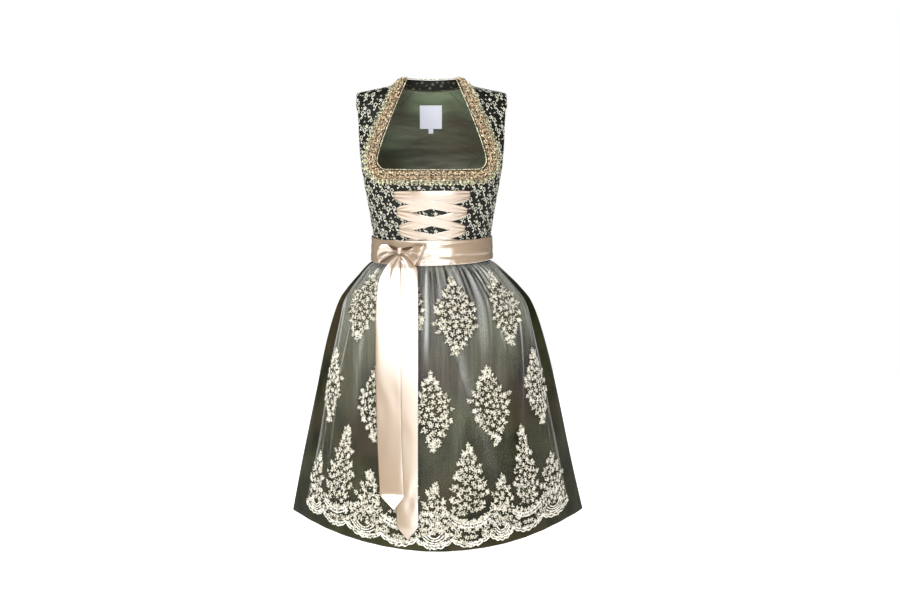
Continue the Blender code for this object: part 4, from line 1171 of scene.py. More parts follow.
MAKERS = {
    "taffeta": taffeta,
    "tulle": tulle,
    "lace": lace_thread,
    "satin": satin,
    "satin back painted shade": satin_back_painted_shade,
    "lining": lining_satin,
    "ground": brocade_ground,
    "vine": brocade_vine,
    "facing figure": lambda: sewing_thread("rayon_brocade_reverse", "#5d5f4a"),
    "copper": lambda: braid_thread("metallised_band_copper", colours().copper, 0.3, 0.5),
    "gimp": lambda: braid_thread("metallised_gimp_rose", colours().gimp, 0.3, 0.42),
    "cream": lambda: braid_thread("rayon_cord_cream", colours().cream, 0.1, 0.5),
    "edging": lambda: braid_thread("metallised_cord_green_gold", colours().edging, 0.12, 0.5),
    "label": label_weave,
    "dark thread": lambda: sewing_thread("sewing_thread_olive", "#2b2e20"),
    "pale thread": lambda: sewing_thread("sewing_thread_sand", "#cbb48c"),
}
FINISHES = {}


def finish(name):
    """A cloth's material, made the first time it is asked for."""
    if name not in FINISHES:
        FINISHES[name] = MAKERS[name]()
    return FINISHES[name]


# ---- Bodice ----


def edged(count, roll=0.012):
    """Shares from 0 to 1, with two close ones at each end for a rolled seam edge."""
    close = [0.0, roll, 2.5 * roll]
    return joined(close, (6 * roll, 1 - 6 * roll, count - 6), [1 - share for share in close[::-1]])


def weighted(left, right, bottom, top, u, v):
    sides = left[:, None] * (1 - u) + right[:, None] * u
    ends = bottom[None] * (1 - v) + top[None] * v
    corners = (bottom[0] * (1 - u) + bottom[-1] * u) * (1 - v) + (top[0] * (1 - u) + top[-1] * u) * v
    return sides + ends - corners


def mirrored(grid):
    return grid * (1, -1)


def centre_front():
    """A centre front, from the closure to the princess seam, with a hair's gap at both."""
    heights = np.linspace(WAIST, NECKLINE_BOTTOM, 48)
    reach = bodice_turn(heights, seam_x(heights))
    turns = reach[:, None] * edged(24)[None]
    turns[:, 0] += 0.12
    turns[:, -1] -= 0.1
    return np.stack(np.broadcast_arrays(heights[:, None], turns), -1)


def side_front():
    """A side front with its strap, from the princess seam and the neckline to the side and the armhole."""
    lower = np.linspace(WAIST, NECKLINE_BOTTOM, 36)
    steps = joined((1.08, 2.0, 14), (2.03, 2.8, 26), (2.82, 3.0, 10))
    x, height = neckline(steps, 0.0)
    seam = np.column_stack(front_place(seam_x(lower), lower))
    inner = np.concatenate([seam, np.column_stack(front_place(x, height))])
    at = np.interp(steps, *np.transpose(ARMHOLE_STEPS))
    side = np.column_stack([np.linspace(WAIST, UNDERARM, 36), np.full(36, 90.0)])
    outer = np.concatenate([side, np.column_stack([at, armhole_turn(at)])])
    across = edged(30)[None, :, None]
    return inner[:, None] * (1 - across) + outer[:, None] * across


def back_centre():
    """The centre back, from princess seam to princess seam, with both back straps."""
    heights = joined((WAIST, BACK_SEAM_TOP, 48), (-124.0, SHOULDER_TIP, 22), (-26.0, 4.0, 9))
    turns = np.where(heights > SHOULDER_TIP + 0.01, 90.0, back_seam_turn(heights))
    right = np.column_stack([heights, turns])
    left = np.column_stack([heights, 360 - turns])
    u = edged(64, 0.006)
    top = np.array([across_back_neck(t) for t in u])
    bottom = right[0] + (left[0] - right[0]) * u[:, None]
    v = np.linspace(0, 1, len(heights))[:, None, None]
    return weighted(right, left, bottom, top, u[None, :, None], v)


def side_back():
    """A side back, from the side seam to the princess seam, with the foot of the armhole as its top."""
    heights = np.linspace(WAIST, BACK_SEAM_TOP, 40)
    seam = np.column_stack([heights, back_seam_turn(heights)])
    side = np.column_stack([np.linspace(WAIST, UNDERARM, 40), np.full(40, 90.0)])
    middle, half = (SHOULDER_TIP + UNDERARM) / 2, (SHOULDER_TIP - UNDERARM) / 2
    u = edged(26)
    top_heights = middle - half * np.cos(np.arccos((middle - BACK_SEAM_TOP) / half) * u)
    top = np.column_stack([top_heights, armhole_turn(top_heights, front=False)])
    bottom = side[0] + (seam[0] - side[0]) * u[:, None]
    v = np.linspace(0, 1, 40)[:, None, None]
    return weighted(side, seam, bottom, top, u[None, :, None], v)


# How each panel is drawn on +X, the width and length in metres that it is cut to, and its flat area.
Cut = namedtuple("Cut", "draw flat area")
CUTS = {
    "centre_front": Cut(centre_front, (0.096, 0.186), 0.0162),
    "side_front": Cut(side_front, (0.170, 0.385), 0.0345),
    "side_back": Cut(side_back, (0.150, 0.256), 0.0262),
    "centre_back": Cut(back_centre, (0.350, 0.392), 0.0800),
}
PANELS = (*(f"{kind}_{side}" for kind in list(CUTS)[:3] for side in ("left", "right")), "centre_back")


def cut_of(name):
    return CUTS[name.removesuffix("_left").removesuffix("_right")]


def panel_grid(name):
    grid = cut_of(name).draw()
    return mirrored(grid) if name.endswith("_left") else grid


def rolled(grid, lift, depth=0.5):
    """The lift of a panel: its edges roll in a little at the seams."""
    rows, columns = grid.shape[:2]
    lifts = np.full((rows, columns), float(lift))
    for k, drop in ((0, depth), (1, 0.35 * depth)):
        lifts[:, k] -= drop
        lifts[:, -1 - k] -= drop
    return lifts


def panel(name, title, form, lift, thickness, outer, inner=None, depth=0.5):
    grid = panel_grid(name)
    sides = walls(form, grid[..., 0], grid[..., 1], rolled(grid, lift, depth), thickness)
    return shell(title, *sides, outer, inner)


def outline_of(grid, degree):
    """A panel's closed outline in millimetres round and up the form."""
    edge = np.concatenate([grid[0], grid[1:-1, -1], grid[-1][::-1], grid[1:-1, 0][::-1]])
    return np.column_stack([edge[:, 1] * degree, edge[:, 0]])


DEGREE = 2.35  # millimetres round the bodice to a degree of turn, on average
VINE_WIDTH, VINE_HEIGHT = 33.0, 37.5
# The brocade's repeat: x, y, part, spin and size of each piece of its figure.
VINE_PATTERN = (
    (0, 0, 0, 0, 1), (16.5, 3.3, 1, 0, 1), (8.14, 13.2, 2, 0.3, 1), (9.02, -5.5, 3, 2.2, 1), (14.3, -15.4, 3, 0.5, 1),
    (-1.65, 15.95, 3, -0.9, 0.9), (6.6, 2.86, 4, 1.1, 0.9), (3.3, -14.85, 4, -0.6, 0.85), (23.65, -9.9, 1, 3.3, 0.75),
)


def vine_homes(outline, seed):
    """The brocade's half-drop repeat of curls, a blossom, leaves and sprigs, over a whole panel."""
    rng = np.random.default_rng(seed)
    repeat = (VINE_WIDTH, VINE_HEIGHT)
    first = np.floor(outline.min(0) / repeat).astype(int) - 1
    last = np.ceil(outline.max(0) / repeat).astype(int) + 2
    homes = []
    for column in range(first[0], last[0]):
        for row in range(first[1], last[1]):
            base = np.array([column * VINE_WIDTH, (row + column % 2 / 2) * VINE_HEIGHT])
            for x, y, kind, spin, size in VINE_PATTERN:
                spot = base + (x, y) + rng.normal(0, 0.5, 2)
                homes.append((spot, kind, spin + rng.normal(0, 0.12), size * rng.uniform(0.94, 1.06)))
    spots = np.array([home[0] for home in homes])
    kept = inside(outline, spots) | (to_edge(outline, spots)[1] < 3.0)
    return [
        Home(float(spot[1]), float(spot[0] / DEGREE), kind, spin, size)
        for (spot, kind, spin, size), keep in zip(homes, kept)
        if keep
    ]


def vine_parts(rise=0.55):
    curls = scroll(1, rise, 0.9), scroll(-1, rise, 0.9)
    sewn = (*curls, blossom(5, 5.6, 1.6, rise), leaf(7.4, 1.4, rise), sprig(6.0, 1.15, rise))
    return parts_collection("vine_parts", sewn)


def vines(name):
    grid = panel_grid(name)
    outline = outline_of(grid, DEGREE)
    middle = outline.mean(0)
    inner = middle + (outline - middle) * 0.999

    def bound(height, turn):
        points = np.column_stack([turn * DEGREE, height])
        out = ~inside(inner, points)
        if out.any():
            points[out] = to_edge(inner, points[out])[0]
        return points[:, 1], points[:, 0] / DEGREE

    homes = vine_homes(outline, len(name))
    if name.startswith("side_front"):
        homes = [home for home in homes if not under_trim(home)]
    return scattered(f"vines_{name}", homes, vine_parts(), finish("vine"), on_form(BODICE, 0.05, bound), 0.83)


NECK_LINE = neckline(joined((0, 2, 60), (2.02, 3, 60)), 10.0)


def under_trim(home):
    """Whether a home lies hidden under the neckline's braid."""
    x = BODICE.half(home.down) * sin(radians(abs(home.across)))
    return np.hypot(NECK_LINE[0] - x, NECK_LINE[1] - home.down).min() < 9.0


class MakeBodice(bpy.types.Operator):
    """Makes the brocade panels of the bodice and the figure woven on them"""

    bl_idname = "dress.make_bodice"
    bl_label = "Bodice"

    def execute(self, context):
        thick = millimetres("bodice_cloth")
        for name in PANELS:
            piece = panel(name, f"brocade_{name}", BODICE, 0.0, thick, finish("ground"), finish("lining"))
            dress(piece, "brocade", name)
            figure = dress(vines(name), "brocade")
        return {"FINISHED"}


# ---- Lining ----


class MakeLining(bpy.types.Operator):
    """Makes the back's lining, the neck facing, the bare label with its stitches and the size tab"""

    bl_idname = "dress.make_lining"
    bl_label = "Lining"

    def execute(self, context):
        inner = -2.4
        for part, name in (("centre", "centre_back"), ("left", "side_back_left"), ("right", "side_back_right")):
            piece = panel(name, f"satin_lining_{part}", BODICE, inner, 0.5, finish("lining"), depth=-0.3)
            dress(piece, "lining", f"lining_{part}")
        self.facing(inner - 1.0)
        self.labels(inner - 2.0)
        self.seams(inner - 0.9)
        return {"FINISHED"}

    def facing(self, lift):
        """A strip of the brocade, turned in at the back neck and felled down."""
        u = np.linspace(0, 1, 60)
        drops = np.linspace(0.6, 26.0, 13)
        grid = np.array([[across_back_neck(t, drop * (1 - 0.35 * abs(2 * t - 1) ** 2)) for t in u] for drop in drops])
        sides = walls(BODICE, grid[..., 0], grid[..., 1], lift + 0.5, 0.5)
        piece = shell("brocade_neck_facing", *sides, finish("ground"))
        dress(piece, "brocade", "back_neck_facing")
        rng = np.random.default_rng(5)
        spots = darts(rng, lambda spot: True, np.array([105.0, -20.0]), np.array([255.0, -1.0]), 9.0, [], 900)
        homes = [Home(down, turn, int(rng.integers(2, 5)), rng.uniform(0, 6), 0.7) for turn, down in spots]
        on_inside = on_form(BODICE, lift)

        def place(height, turn, offset):
            return on_inside(height, turn, offset * (-1, 1, -1))

        figure = scattered("vines_neck_facing", homes, vine_parts(), finish("facing figure"), place)
        path = BODICE.point(grid[-2, :, 0], grid[-2, :, 1], lift - 0.25)
        sewn = stitches("neck_facing_stitches", [(path, False)], finish("pale thread"), 0.0032, 0.00022)
        dress(figure, "brocade")
        dress(sewn, "brocade")

    def labels(self, lift):
        for name, half, top, bottom in (("neck_label", 25.5, -52.0, -106.0), ("size_tab", 5.5, -106.5, -117.0)):
            label = name == "neck_label"
            rows, margin = (24, 1) if label else (8, 0)
            heights = np.linspace(bottom, top, rows)
            xs = -2.0 + np.linspace(-half, half, rows)
            turns = 180 - np.degrees(np.arcsin(xs[None] / BODICE.half(heights)[:, None]))
            grid_heights = np.broadcast_to(heights[:, None], turns.shape)
            bow = np.sin(np.linspace(0, pi, rows))
            outside, inward = walls(BODICE, grid_heights, turns, lift - 0.5 * bow[:, None] * bow[None], 0.4)
            piece = dress(shell(f"woven_{name}", outside, inward, finish("label")), "label", name)
            within, last = slice(margin, -margin or None), -1 - margin
            around = np.concatenate([inward[margin, within], inward[within, last], inward[last, within][::-1]])
            path = [(around + (0.0, -0.15, 0.0), True)]
            sewn = dress(stitches(f"{name}_stitches", path, finish("pale thread"), 0.003, 0.00016, 0.66), "label")

    def seams(self, lift):
        """Two short darts of the lining on each side, as sunk lines of thread."""
        paths = []
        for side in (-1, 1):
            for (x0, h0), (x1, h1) in (((42.0, -24.0), (72.0, -54.0)), ((115.0, -165.0), (84.0, -197.0))):
                heights, xs = np.linspace(h0, h1, 12), np.linspace(x0, x1, 12)
                turns = 180 - side * np.degrees(np.arcsin(np.clip(xs / BODICE.half(heights), -1, 1)))
                paths.append((BODICE.point(heights, turns, lift), False))
        dress(stitches("lining_seams", paths, finish("dark thread"), 0.0026, 0.0006, 0.98), "lining")


# ---- Neck trim ----


def neck_run():
    """Steps of the neckline by distance along it, measured at the middle of the braid."""
    steps = np.unique(joined((0, 1, 40), (1, 2, 40), (2, 3, 120)))
    x, height = neckline(steps, BRAID_WIDTH / 2)
    points = BODICE.surface(*front_place(x, height))
    run = np.concatenate([[0.0], np.cumsum(np.linalg.norm(np.diff(points, axis=0), axis=1))])
    return steps, run


NECK_STEPS, NECK_RUN = neck_run()


def on_trim(side, lift):
    """Lays offsets on the trim: a home is a distance along the neckline and one outwards from it."""

    def place(run, out, offset):
        step = np.interp(np.clip(run + side * offset[:, 0], 0.3, NECK_RUN[-1] - 0.2), NECK_RUN, NECK_STEPS)
        x, height = neckline(step, out - offset[:, 1])
        height, turn = front_place(x, height)
        return BODICE.point(height, side * turn, lift + offset[:, 2])

    return place


def trim_line(side, out, lift, wave=0.0, pitch=9.0, count=260):
    """A line along the neckline, this far out from it, which may wave."""
    run = np.linspace(0.6, NECK_RUN[-1] - 0.5, count)
    offset = np.column_stack([np.zeros(count), wave * np.sin(2 * pi * run / pitch), np.zeros(count)])
    return on_trim(side, lift)(run, np.full(count, float(out)), offset)


class MakeNeckTrim(bpy.types.Operator):
    """Makes the braid round the neckline, its lace edging and the beaded binding"""

    bl_idname = "dress.make_neck_trim"
    bl_label = "Neck trim"

    def execute(self, context):
        for name, side in (("left", -1), ("right", 1)):
            self.braid(name, side)
            self.edging(name, side)
        self.binding()
        return {"FINISHED"}

    def braid(self, name, side):
        """A woven copper band, covered with scrolls and leaves of cream cord and rose gimp."""
        rng = np.random.default_rng(7)
        count, across = 220, 9
        runs, outs = np.linspace(0.4, NECK_RUN[-1] - 0.2, count), np.linspace(0.4, BRAID_WIDTH, across)
        run, out = (grid.ravel() for grid in np.meshgrid(runs, outs, indexing="ij"))
        crown = np.sin(pi * (out - 0.4) / (BRAID_WIDTH - 0.4)) ** 0.5
        outside, inward = (
            on_trim(side, level)(run, out, np.outer(rise, (0, 0, 1))).reshape(count, across, 3)
            for level, rise in ((2.0, crown), (1.0, 0 * crown))
        )
        band = dress(shell(f"braid_band_{name}", outside, inward, finish("copper")), "braid", f"neck_braid_{name}")
        scrolls = (turned_by(scroll(way, 1.5, 1.3), 90, size=0.6) for way in (1, -1))
        sewn = (*scrolls, blossom(5, 4.3, 1.35, 1.4), curl(1.2), leaf(6.6, 1.6, 1.4))
        parts = parts_collection("braid_parts", sewn)
        cream, rose, taken = [], [], []
        pitch = 12.4
        for k in range(int((NECK_RUN[-1] - 4) / pitch)):
            run = pitch * (k + 0.4)
            after = run + pitch / 2
            cream.append(Home(run, 6.4, k % 2, rng.normal(0, 0.15), 1.0))
            cream.append(Home(after, 14.2, 1 - k % 2, rng.normal(0, 0.15) + pi, 1.0))
            rose.append(Home(after, 7.0, 2, rng.uniform(0, 1), 1.0))
            rose.append(Home(run, 13.8, 2, rng.uniform(0, 1), 1.1))
            taken += [(np.array(spot), 1.6) for spot in ((run, 6.4), (after, 14.2), (after, 7.0), (run, 13.8))]
        low, high = np.array([1.0, 2.2]), np.array([NECK_RUN[-1] - 2.0, BRAID_WIDTH - 1.2])
        for spot in darts(rng, lambda spot: True, low, high, 6.0, taken, 2400):
            chosen = cream if rng.random() < 0.62 else rose
            kind, size = (3, 0.6) if rng.random() < 0.3 else (4, 1.0)
            chosen.append(Home(*spot, kind, rng.uniform(0, 2 * pi), size * rng.uniform(0.8, 1.15)))
        place = on_trim(side, 2.6)
        raised = scattered(f"braid_scrolls_{name}", cream, parts, finish("cream"), place)
        gimp = scattered(f"braid_gimp_{name}", rose, parts, finish("gimp"), place)
        paths = [(trim_line(side, out, 2.7, 0.4, 4.2), False) for out in (1.9, 19.2)]
        sewn = [raised, gimp, cords(f"braid_cords_{name}", paths, finish("gimp"))]
        for piece in sewn:
            dress(piece, "braid")

    def edging(self, name, side):
        """Rosettes of metallised cord on a scalloped edge, with leaves that stick out between them."""
        rng = np.random.default_rng(11)
        sewn = (blossom(6, 5.0, 1.05, 1.3), blossom(5, 3.4, 0.9, 1.1), leaf(6.0, 1.2, 1.1), curl(1.0))
        parts = parts_collection("edging_parts", sewn)
        homes, taken = [], []
        pitch = 9.5
        for k in range(int((NECK_RUN[-1] - 6) / pitch)):
            run = pitch * (k + 0.5)
            out = BRAID_WIDTH + 5.2
            homes.append(Home(run, out, 0, rng.uniform(0, 0.8), rng.uniform(0.9, 1.05)))
            taken.append((np.array([run, out]), 3.4))
            for spin in (-0.6, -2.6):
                homes.append(Home(run + 1.6 * (spin + 1.6), out + 3.6, 2, spin + rng.normal(0, 0.25), 0.95))
        low, high = np.array([1.0, BRAID_WIDTH + 0.8]), np.array([NECK_RUN[-1] - 2.0, BRAID_WIDTH + EDGING_REACH])
        for spot in darts(rng, lambda spot: True, low, high, 6.4, taken, 1200):
            kind = int(rng.choice([1, 2, 3], p=[0.3, 0.5, 0.2]))
            homes.append(Home(*spot, kind, rng.uniform(0, 2 * pi), 0.55 if kind == 3 else 0.85))
        rosettes = scattered(f"edging_rosettes_{name}", homes, parts, finish("edging"), on_trim(side, 1.3))
        dress(rosettes, "edging", f"neck_edging_{name}")
        paths = [(trim_line(side, BRAID_WIDTH + 0.6, 2.0, 0.3, 3.2), False)]
        dress(cords(f"edging_cords_{name}", paths, finish("edging"), 0.00055), "edging")

    def binding(self):
        """A rolled cream binding round the whole neck, with a bead every few millimetres at the front."""
        x, height = neckline(joined((0, 2, 90), (2.02, 2.99, 110)), -1.4)
        right = np.column_stack(front_place(x, height))
        back = np.array([back_neck_place(t, -1.4) for t in np.linspace(0.02, 1, 40)])
        half = np.concatenate([right, back])
        ring = np.concatenate([half, mirrored(half[1:-1])[::-1]])
        path = BODICE.point(ring[:, 0], ring[:, 1], -0.4)
        dress(cords("neck_roll", [(path, True)], finish("edging"), 0.0009, 8), "edging", "neck_binding")
        homes = []
        for side in (-1, 1):
            count = int(NECK_RUN[-1] / millimetres("bead"))
            homes += [Home(side * (k + 0.5) * NECK_RUN[-1] / count, 0.0, 0, 0.0, 1.0) for k in range(count)]
        parts = parts_collection("bead_parts", (pad(disc(8, 0.95), 1.3, -0.35, 0.62),))

        def place(run, out, offset):
            side = np.where(run < 0, -1.0, 1.0)
            step = np.interp(np.abs(run) + side * offset[:, 0], NECK_RUN, NECK_STEPS)
            x, height = neckline(step, -1.2 - offset[:, 1])
            height, turn = front_place(x, height)
            return BODICE.point(height, side * turn, 0.4 + offset[:, 2])

        dress(scattered("neck_beads", homes, parts, finish("cream"), place), "edging")


# ---- Ribbons ----


def crease_lines(across, down, seed, strength):
    """Soft uneven creases of a ribbon that was tied: a sum of slanted waves that fade in and out."""
    rng = np.random.default_rng(seed)
    total = np.zeros(np.broadcast(across, down).shape)
    for _ in range(7):
        slant, pitch, shift = rng.uniform(-0.5, 0.5), rng.uniform(14, 42), rng.uniform(0, 6)
        middle, reach = rng.uniform(down.min(), down.max()), rng.uniform(14, 46)
        wave = np.cos(2 * pi * (across + slant * down) / pitch + shift)
        total += wave * np.exp(-(((down - middle) / reach) ** 2))
    return strength * total / 2.2


def ribbon(name, outside, inward, node, rim=None, back=None, wrap=False, crease=60):
    """A piece of the satin ribbon. rim marks its selvedges and the shade painted in its folds."""
    made = shell(f"ribbon_{name}", outside, inward, finish("satin"), back, wrap=wrap, rim=rim, crease=crease)
    return dress(made, "satin", node)


class MakeLacing(bpy.types.Operator):
    """Makes the ribbon laced across the front: a bar at the top and strands that cross three times"""

    bl_idname = "dress.make_lacing"
    bl_label = "Lacing"

    def execute(self, context):
        self.strand("lacing_bar", (-81.0, -245.5), (81.0, -244.5), 3.4, 0, 0.2)
        for k, (upper, lower) in enumerate(zip(LACING_ANCHORS, LACING_ANCHORS[1:]), start=1):
            for name, side, lift, seed in (("over", 1, 2.0, k), ("under", -1, 0.7, k + 10)):
                start = (-side * (upper[1] + 1), upper[0] - 3)
                end = (side * (lower[1] + 1), lower[0] + 2)
                self.strand(f"lacing_{name}_{k}", start, end, lift, seed, 0.4)
        return {"FINISHED"}

    def strand(self, name, start, end, lift, seed, pinch):
        """One strand. Its ends draw in and turn under where they pass behind the seam."""
        run = np.array(end) - start
        far = np.hypot(*run)
        side = np.array([-run[1], run[0]]) / far
        t = joined([0.0, 0.004, 0.012], (0.03, 0.97, 58), [0.988, 0.996, 1.0])[:, None]
        s = joined([-1.0, -0.97], (-0.9, 0.9, 13), [0.97, 1.0])[None]
        near = np.minimum(t, 1 - t)
        width = LACING_WIDTH / 2 * (1 - pinch * np.exp(-((near / 0.065) ** 1.5)) - 0.02 * np.sin(7 * t + seed))
        x = start[0] + run[0] * t + side[0] * s * width
        height = start[1] + run[1] * t + side[1] * s * width
        height, turn = front_place(x, height)
        crease = crease_lines(s * width, t * far, seed + 20, 0.16)
        gather = 0.5 * np.cos(pi * (2.2 * s + 0.4 * seed)) * np.exp(-near / 0.1)
        turn_under = -1.6 * np.exp(-((near / 0.012) ** 1.2))
        edge = -0.18 * np.abs(s) ** 8
        bulge = 0.35 * np.sin(pi * np.clip(t, 0, 1)) ** 0.5
        top = lift + 1.5 + crease + gather + turn_under + edge + bulge
        outside = BODICE.point(height, turn, top)
        inward = BODICE.point(height, turn, np.maximum(top - millimetres("ribbon"), 0.15))
        selvedge = np.broadcast_to(np.abs(s) > 0.95, x.shape)
        piece = ribbon(name, outside, inward, name, selvedge)


class MakeBelt(bpy.types.Operator):
    """Makes the ribbon belt, with the soft creases of a ribbon drawn tight"""

    bl_idname = "dress.make_belt"
    bl_label = "Belt"

    def execute(self, context):
        turns = np.arange(240) * 1.5
        rows = joined([0.0, 0.015, 0.04], (0.08, 0.92, 18), [0.96, 0.985, 1.0])
        heights = BELT_BOTTOM + (BELT_TOP - BELT_BOTTOM) * rows
        edge = np.sin(np.radians(3 * turns + 40)) + 0.7 * np.sin(np.radians(7 * turns))
        share = rows[:, None]
        down = heights[:, None] + edge[None] * np.where(share > 0.5, share, 0.4 * (1 - share))
        # At the wearer's left the ribbon is drawn up a little.
        down = down + np.clip(np.sin(np.radians(turns)), 0, 1)[None] ** 1.5 * (6.0 - 3.5 * share)
        angle = np.radians(turns)[None]
        crease = 0.0
        for height, drift, width, depth, rounds, shift in BELT_CREASES:
            middle = height + drift * np.sin(rounds * angle + shift)
            fade = 0.5 + 0.5 * np.sin((rounds + 1) * angle + 2 * shift)
            crease = crease + depth * fade * np.exp(-(((down - middle) / width) ** 2))
        pucker = 0.35 * np.sin(44 * angle + 3 * np.sin(5 * angle)) * np.exp(-((share / 0.12) ** 1.4))
        roll = -0.5 * (np.abs(2 * share - 1) ** 20)
        lift = 1.0 + crease + pucker + roll
        outside = belt_point(down, turns[None], lift)
        inward = belt_point(down, turns[None], lift - millimetres("ribbon"))
        selvedge = np.broadcast_to(np.abs(2 * share - 1) > 0.98, down.shape)
        piece = ribbon("belt", outside, inward, "belt", selvedge, wrap=True, crease=40)
        return {"FINISHED"}


def bow_frame():
    """The knot's seat on the belt, with the directions along the belt, up, and outwards."""
    turn = float(np.degrees(np.arcsin(BOW_X / BELT_HALF)))
    seat = belt_point(BOW_HEIGHT, turn)
    along = unit(belt_point(BOW_HEIGHT, turn + 1) - belt_point(BOW_HEIGHT, turn - 1))
    up = np.array([0.0, 0.0, 1.0])
    return seat, along, up, np.cross(along, up)


def from_bow(u, v, w):
    """A point of the bow: along the belt, up from the knot's middle, and out from the belt."""
    seat, along, up, out = bow_frame()
    u, v, w = np.broadcast_arrays(u, v, w)
    return seat + u[..., None] * along + v[..., None] * up + w[..., None] * out


# A loop's reach and height at its upper and lower edge, how far it puffs out, and its flat length and area.
Loop = namedtuple("Loop", "name side top_reach foot_reach top foot puff seed length area")
LOOPS = (
    Loop("bow_loop_left", -1, 44.0, 51.0, 13.0, -32.0, 20.0, 3, 0.115, 0.0037),
    Loop("bow_loop_right", 1, 64.0, 36.0, 15.0, -33.0, 20.0, 5, 0.130, 0.0042),
)


def taut(forward, heights, last):
    """The depths of a ribbon that spans the hollows above its row last instead of following them."""
    spanned = forward.copy()
    for first in range(last):
        for end in range(first + 2, last + 1):
            share = (heights[first] - heights[first + 1 : end]) / (heights[first] - heights[end])
            chord = forward[first] + (forward[end] - forward[first]) * share[:, None]
            spanned[first + 1 : end] = np.minimum(spanned[first + 1 : end], chord)
    return spanned


